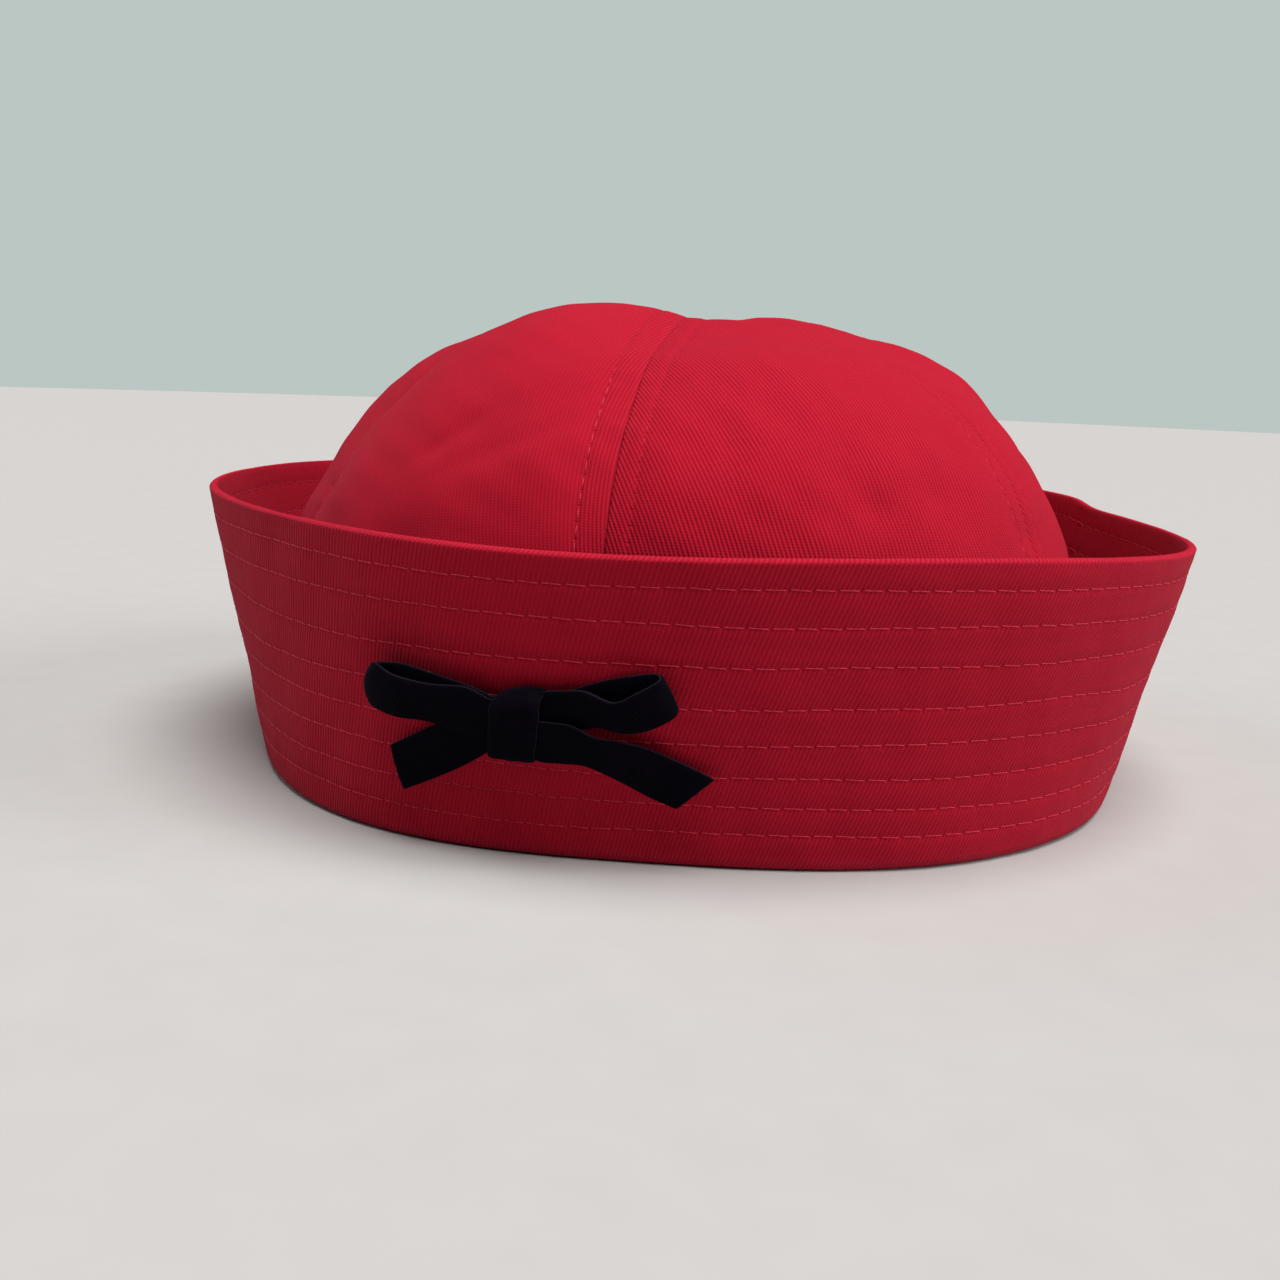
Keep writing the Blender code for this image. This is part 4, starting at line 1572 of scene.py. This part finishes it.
RIBBONS = (
    Ribbon("bow_loop_left", (-0.0008, -0.0006), 173.5, (
        RibbonRow(0.0000, 0.0004, THIRD, 0.0070),
        RibbonRow(0.0045, 0.0006, THIRD + 0.0001, 0.0084),
        RibbonRow(0.0085, 0.0018, 0.0045, 0.0090),
        RibbonRow(0.0145, 0.0020, 0.0055, 0.0074),
        RibbonRow(0.0205, 0.0017, 0.0060, 0.0081),
        RibbonRow(0.0256, 0.0019, 0.0052, 0.0088, -0.0006, round=0.0008),
        RibbonRow(0.0282, 0.0012, 0.0036, 0.0082, -0.0010, round=0.0014),
        RibbonRow(0.0270, 0.0010, 0.0020, 0.0084, -0.0008, round=0.0012),
        RibbonRow(0.0220, 0.0013, 0.0015, 0.0086),
        RibbonRow(0.0150, 0.0012, 0.0017, 0.0086),
        RibbonRow(0.0085, 0.0010, SECOND - 0.0001, 0.0086),
        RibbonRow(0.0045, 0.0004, SECOND, 0.0080),
        RibbonRow(0.0000, 0.0000, SECOND, 0.0066),
    )),
    Ribbon("bow_loop_right", (0.0008, 0.0000), 13.8, (
        RibbonRow(0.0000, 0.0004, SECOND, 0.0066),
        RibbonRow(0.0045, 0.0010, SECOND, 0.0084),
        RibbonRow(0.0085, 0.0014, 0.0027, 0.0074),
        RibbonRow(0.0125, 0.0014, 0.0036, 0.0072, tilt=0.0006),
        RibbonRow(0.0168, -0.0003, 0.0047, 0.0064, tilt=0.0008),
        RibbonRow(0.0208, 0.0004, 0.0053, 0.0074, tilt=0.0004),
        RibbonRow(0.0245, 0.0014, 0.0048, 0.0072, -0.0010),
        RibbonRow(0.0257, 0.0018, 0.0034, 0.0066, -0.0014, round=0.0002),
        RibbonRow(0.0245, 0.0018, 0.0020, 0.0070, -0.0012),
        RibbonRow(0.0205, 0.0009, 0.0014, 0.0088, -0.0008),
        RibbonRow(0.0150, 0.0008, 0.0011, 0.0086),
        RibbonRow(0.0090, 0.0004, FIRST, 0.0076),
        RibbonRow(0.0045, -0.0002, FIRST, 0.0064),
        RibbonRow(0.0000, 0.0000, FIRST, 0.0056),
    )),
    Ribbon("bow_tail_left", (-0.0012, -0.0014), 205.2, (
        RibbonRow(0.0000, 0.0000, FIRST, 0.0046),
        RibbonRow(0.0045, 0.0006, FIRST, 0.0052),
        RibbonRow(0.0095, 0.0002, FIRST, 0.0066),
        RibbonRow(0.0155, 0.0005, 0.0012, 0.0088),
        RibbonRow(0.0215, 0.0002, 0.0016, 0.0088, -0.0012),
        RibbonRow(0.0273, 0.0000, 0.0022, 0.0086, -0.0024),
    ), cut_end=True),
    Ribbon("bow_tail_right", (0.0010, -0.0018), -17.5, (
        RibbonRow(0.0000, 0.0000, THIRD, 0.0066),
        RibbonRow(0.0035, 0.0003, THIRD + 0.0001, 0.0082),
        RibbonRow(0.0070, 0.0015, 0.0043, 0.0082, tilt=0.0004),
        RibbonRow(0.0110, 0.0020, 0.0046, 0.0066, tilt=0.0008),
        RibbonRow(0.0150, 0.0018, 0.0040, 0.0076, tilt=0.0008),
        RibbonRow(0.0195, 0.0009, 0.0028, 0.0085, 0.0010, tilt=0.0004),
        RibbonRow(0.0250, -0.0003, 0.0020, 0.0086, 0.0030),
        RibbonRow(0.0308, -0.0007, 0.0026, 0.0080, 0.0044),
    ), cut_end=True),
    Ribbon("bow_knot", (0.0, 0.0), 78.0, (
        RibbonRow(-0.0066, 0.0003, FIRST, 0.0080, -0.0018),
        RibbonRow(-0.0069, 0.0003, 0.0024, 0.0080, -0.0018),
        RibbonRow(-0.0066, 0.0003, 0.0040, 0.0080, -0.0018),
        RibbonRow(-0.0055, 0.0003, 0.0051, 0.0080, -0.0020),
        RibbonRow(-0.0030, 0.0003, KNOT_TOP, 0.0081, -0.0026),
        RibbonRow(-0.0004, 0.0004, KNOT_TOP + 0.0003, 0.0081, -0.0030),
        RibbonRow(0.0024, 0.0006, KNOT_TOP, 0.0082, -0.0033, round=0.0004),
        RibbonRow(0.0046, 0.0009, 0.0051, 0.0082, -0.0035, round=0.0009),
        RibbonRow(0.0058, 0.0010, 0.0040, 0.0082, -0.0036, round=0.0013),
        RibbonRow(0.0061, 0.0010, 0.0024, 0.0082, -0.0036, round=0.0014),
        RibbonRow(0.0058, 0.0010, FIRST, 0.0082, -0.0036, round=0.0014),
    ), creases=3),
)


@dataclass(frozen=True)
class Bow:
    """The velvet bow on the front of the brim: two loops, two cut tails and the knot round their roots.

    Each ribbon's cut end is ragged past the share ragged_from of its rows, and its pleats fade out
    pleat_rows rows from its middle. Its edges are round for edge_round half walls in. weave_reach is half
    the width that the weave's map takes a ribbon to have.
    """

    brim: Brim
    azimuth: float = -5.9
    height: float = 0.0290
    radius: float = 0.100
    wall: float = 0.0009
    raggedness: float = 0.00012
    ragged_from: float = 0.96
    pleat_height: float = 0.00020
    pleat_rows: float = 3.5
    edge_round: float = 1.2
    thinnest: float = 0.004
    weave_reach: float = 0.0045
    steps: int = 9
    columns: int = 25
    camber_waves: SoftWaves = SoftWaves(0.00010, 0.006, 0.014, 21)
    wave_share: float = 0.5

    def on_brim(self, across: Array, up: Array, lift: Array) -> Array:
        """Points on or off the brim's outer face, placed from the knot's middle.

        Args:
            across: distance to the right.
            up: distance up the brim's slant.
            lift: distance off the brim.
        Returns:
            The points.
        """
        azimuth = self.azimuth + np.degrees(across / self.radius)
        point, normal = self.brim.section(azimuth, self.height + up, Side.OUTER)
        return point + normal * lift[..., None]

    def middle(self, ribbon: Ribbon) -> tuple[Array, Array, Array]:
        """The middle surface of a ribbon.

        The table's columns are made smooth over its rows. A row's points lie across the ribbon, with
        lift + tilt * t / 2 + camber * (1/2 - t^2) off the brim, for t from -1 at its lower edge to 1 at
        its upper one. Pleats add pleat_height * cos(pi * creases * t), and fade out both ways along it.

        Args:
            ribbon: which ribbon.
        Returns:
            The points, the distance along the ribbon, and the distance in from its nearest edge.
        """
        last = len(ribbon.rows) - 1
        at = np.linspace(0, last, self.steps * last + 1)[:, None]
        table = np.array([[getattr(row, field.name) for field in fields(row)] for row in ribbon.rows])
        columns = [smooth_curve(np.arange(last + 1), column, at) for column in table.T]
        along, side, lift, width, skew, tilt, round_off = columns
        edge = np.sin(np.linspace(-1, 1, self.columns) * math.pi / 2) * 0.5
        reach = along + skew * edge - round_off * (2 * edge) ** 2
        if ribbon.cut_end:
            ragged = np.random.default_rng(len(ribbon.node)).uniform(-1, 1, self.columns)
            reach = reach + self.raggedness * ragged * ease(at / last, self.ragged_from, 1.0)
        angle = math.radians(ribbon.angle)
        offset = (side + width * edge) * math.copysign(1.0, math.cos(angle))
        across = ribbon.root[0] + reach * math.cos(angle) - offset * math.sin(angle)
        up = ribbon.root[1] + reach * math.sin(angle) + offset * math.cos(angle)
        stand = lift + tilt * edge + ribbon.camber * (0.5 - 4 * edge**2)
        if ribbon.creases:
            pleats = self.pleat_height * np.cos(TURN * ribbon.creases * edge)
            stand = stand + pleats * bell(last / 2 - at, self.pleat_rows)
        point = self.on_brim(across, up, stand)
        steps = np.linalg.norm(np.diff(point[:, self.columns // 2], axis=0), axis=-1)
        run = np.concatenate([[0.0], np.cumsum(steps)])[:, None]
        return point, run + 0 * edge, (0.5 - np.abs(edge)) * width

    def grid(self, ribbon: Ribbon) -> Grid:
        """A ribbon as a closed wall of velvet whose edges are rounded as a half ellipse.

        Args:
            ribbon: which ribbon.
        Returns:
            The wall, which has no marks.
        """
        middle, run, inward = self.middle(ribbon)
        half = self.wall / 2
        share = np.clip(inward / (self.edge_round * half), 0, 1)
        thick = half * np.sqrt(np.clip(1 - (1 - share) ** 2, self.thinnest, 1))
        thick = thick + self.camber_waves.at(middle) * share * self.wave_share
        stand = grid_normals(middle) * thick[..., None]
        across = np.linspace(-1, 1, self.columns) * self.weave_reach + 0 * run
        maps = {
            "weave": both_sides(np.stack([across, run], axis=-1)),
            "edge": both_sides(np.stack([inward, 0 * inward], axis=-1)),
        }
        return Grid(two_sided(middle + stand, middle - stand), maps, {}, closes_columns=True, caps=True)


# ---- The studio ----
@dataclass(frozen=True)
class Camera:
    """The photograph's viewpoint: where it stands, where it looks and how wide it sees."""

    place: tuple[float, float, float] = (0.05429, -0.31008, 0.08664)
    heading: float = -11.98
    down: float = 11.42
    roll: float = 2.12
    lens: float = 37.606
    sensor: float = 36.0

    def build(self) -> bpy.types.Object:
        """A camera turned by its heading from +Y, then down, then rolled.

        Returns:
            The camera, which is the scene's.
        """
        heading, down, roll = (math.radians(value) for value in (self.heading, self.down, self.roll))
        level = Vector((math.sin(heading), math.cos(heading), 0.0))
        right = Vector((math.cos(heading), -math.sin(heading), 0.0))
        forward = level * math.cos(down) - Vector((0, 0, 1)) * math.sin(down)
        up = level * math.sin(down) + Vector((0, 0, 1)) * math.cos(down)
        side = right * math.cos(roll) + up * math.sin(roll)
        top = up * math.cos(roll) - right * math.sin(roll)
        data = bpy.data.cameras.new("photo_camera")
        data.lens = self.lens
        data.sensor_width = self.sensor
        data.clip_start = 0.01
        camera = bpy.data.objects.new("photo_camera", data)
        turn = Matrix((side, top, -forward)).transposed()
        camera.matrix_world = Matrix.Translation(Vector(self.place)) @ turn.to_4x4()
        bpy.context.scene.collection.objects.link(camera)
        bpy.context.scene.camera = camera
        return camera


@dataclass(frozen=True)
class Lamp:
    """A soft distant lamp: the side that it stands on, its power, and its width in degrees."""

    name: str
    place: tuple[float, float, float]
    power: float
    width: float
    colour: tuple[float, float, float] = (1.0, 1.0, 1.0)

    def build(self) -> bpy.types.Object:
        """A lamp that faces the cap.

        Returns:
            The lamp.
        """
        data = bpy.data.lights.new(self.name, "SUN")
        data.angle = math.radians(self.width)
        data.energy = self.power
        data.color = self.colour
        lamp = bpy.data.objects.new(self.name, data)
        lamp.location = self.place
        lamp.rotation_euler = (-Vector(self.place)).to_track_quat("-Z", "Y").to_euler()
        bpy.context.scene.collection.objects.link(lamp)
        return lamp


@dataclass(frozen=True)
class Studio:
    """The pale floor, the soft lamps and the pale surroundings."""

    floor_radius: float = 3.0
    floor_hole: float = 0.0005
    floor_rings: int = 24
    floor_sides: int = 96
    backdrop: Colour = (0.50, 0.57, 0.545, 1.0)
    fill: Colour = (0.040, 0.040, 0.040, 1.0)
    lamps: tuple[Lamp, ...] = (
        Lamp("overhead_lamp", (0.22, -0.21, 1.0), 4.5, 44.0, (1.0, 0.985, 0.965)),
        Lamp("right_window", (0.95, -0.02, 0.42), 1.7, 30.0, (0.97, 0.98, 1.0)),
        Lamp("left_wall", (-0.95, 0.08, 0.45), 0.75, 46.0, (0.97, 0.98, 1.0)),
    )

    def floor(self) -> bpy.types.Object:
        """A round floor: rings of points whose radius grows as the square of their share, from the middle.

        The innermost ring has the share floor_hole.

        Returns:
            The floor.
        """
        share = np.linspace(self.floor_hole, 1, self.floor_rings)[::-1, None]
        azimuth = np.linspace(0, 360, self.floor_sides, endpoint=False)
        blank = np.zeros((self.floor_rings - 1, self.floor_sides, 4, 2))
        rings = at_height(share**2 * self.floor_radius, azimuth, 0.0)
        return Grid(rings, {"weave": blank}, {}, closes_columns=True).build("floor", FloorFinish().material())

    def surroundings(self) -> None:
        """A pale backdrop on all sides, which lights the cap only as faintly as the fill."""
        world = bpy.data.worlds.new("pale_surroundings")
        world.use_nodes = True
        tree = world.node_tree
        ray = tree.nodes.new("ShaderNodeLightPath")
        blend = tree.nodes.new("ShaderNodeMix")
        blend.data_type = "RGBA"
        blend.inputs[6].default_value, blend.inputs[7].default_value = self.fill, self.backdrop
        tree.links.new(ray.outputs["Is Camera Ray"], blend.inputs[0])
        tree.links.new(blend.outputs[2], tree.nodes["Background"].inputs["Color"])
        bpy.context.scene.world = world

    def build(self) -> None:
        """Make the floor, the lamps and the surroundings, and choose a plain view of the colours."""
        self.floor()
        for lamp in self.lamps:
            lamp.build()
        self.surroundings()
        bpy.context.scene.view_settings.view_transform = "Standard"


# ---- The cap ----
@dataclass
class SailorCap:
    """The whole cap: its brim, crown, bow and stitches, each dressed and set on the body."""

    brim: Brim
    crown: Crown
    bow: Bow
    twill: bpy.types.Material
    velvet: bpy.types.Material
    sewing: bpy.types.Material

    def add(self, piece: bpy.types.Object, slot: str, *nodes: str) -> None:
        """Fix a piece to the body and let it stand for its solids.

        Args:
            piece: the piece.
            slot: a material slot's name; not used.
            nodes: the solids that it takes the place of.
        """
        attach(piece, BODY)
        if nodes:
            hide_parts(*nodes)
        LOG.info("%s: %d vertices", piece.name, len(piece.data.vertices))

    def stitches(self, name: str, thread: Thread, lines: tuple[Array, Array]) -> None:
        """One piece of many stitches."""
        points, faces, places = thread.mesh(*lines)
        self.add(make_object(name, points, faces, {"weave": places}, self.sewing, {}), "red_twill")

    def build(self) -> None:
        """Make every piece of the cap."""
        self.add(self.brim.grid().build("brim_cloth", self.twill), "red_twill", "brim")
        for gore in self.crown.gores:
            name = gore.node.replace("crown_panel", "gore")
            self.add(self.crown.grid(gore).build(name, self.twill), "red_twill", gore.node)
        for ribbon in RIBBONS:
            name = ribbon.node.replace("bow", "ribbon")
            self.add(self.bow.grid(ribbon).build(name, self.velvet), "black_velvet", ribbon.node)
        bold, sunk, fine = Thread(), Thread(lift=-0.2), Thread(share=0.74, slant=0.00006, lift=0.2)
        self.stitches("brim_stitches_outer", bold, self.brim.threads(Side.OUTER, bold, seed=31))
        self.stitches("brim_stitches_inner", sunk, self.brim.threads(Side.INNER, sunk, seed=32))
        self.stitches("crown_stitches", fine, self.crown.threads(fine, seed=33))


def main() -> None:
    """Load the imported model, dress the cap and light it."""
    logging.basicConfig(level=logging.INFO, format="%(name)s: %(message)s")
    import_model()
    Camera().build()
    Studio().build()
    brim = Brim()
    cap = SailorCap(brim, Crown(), Bow(brim), TwillFinish().material(), VelvetFinish().material(),
                    ThreadFinish().material())
    cap.build()


if __name__ == "__main__":
    main()
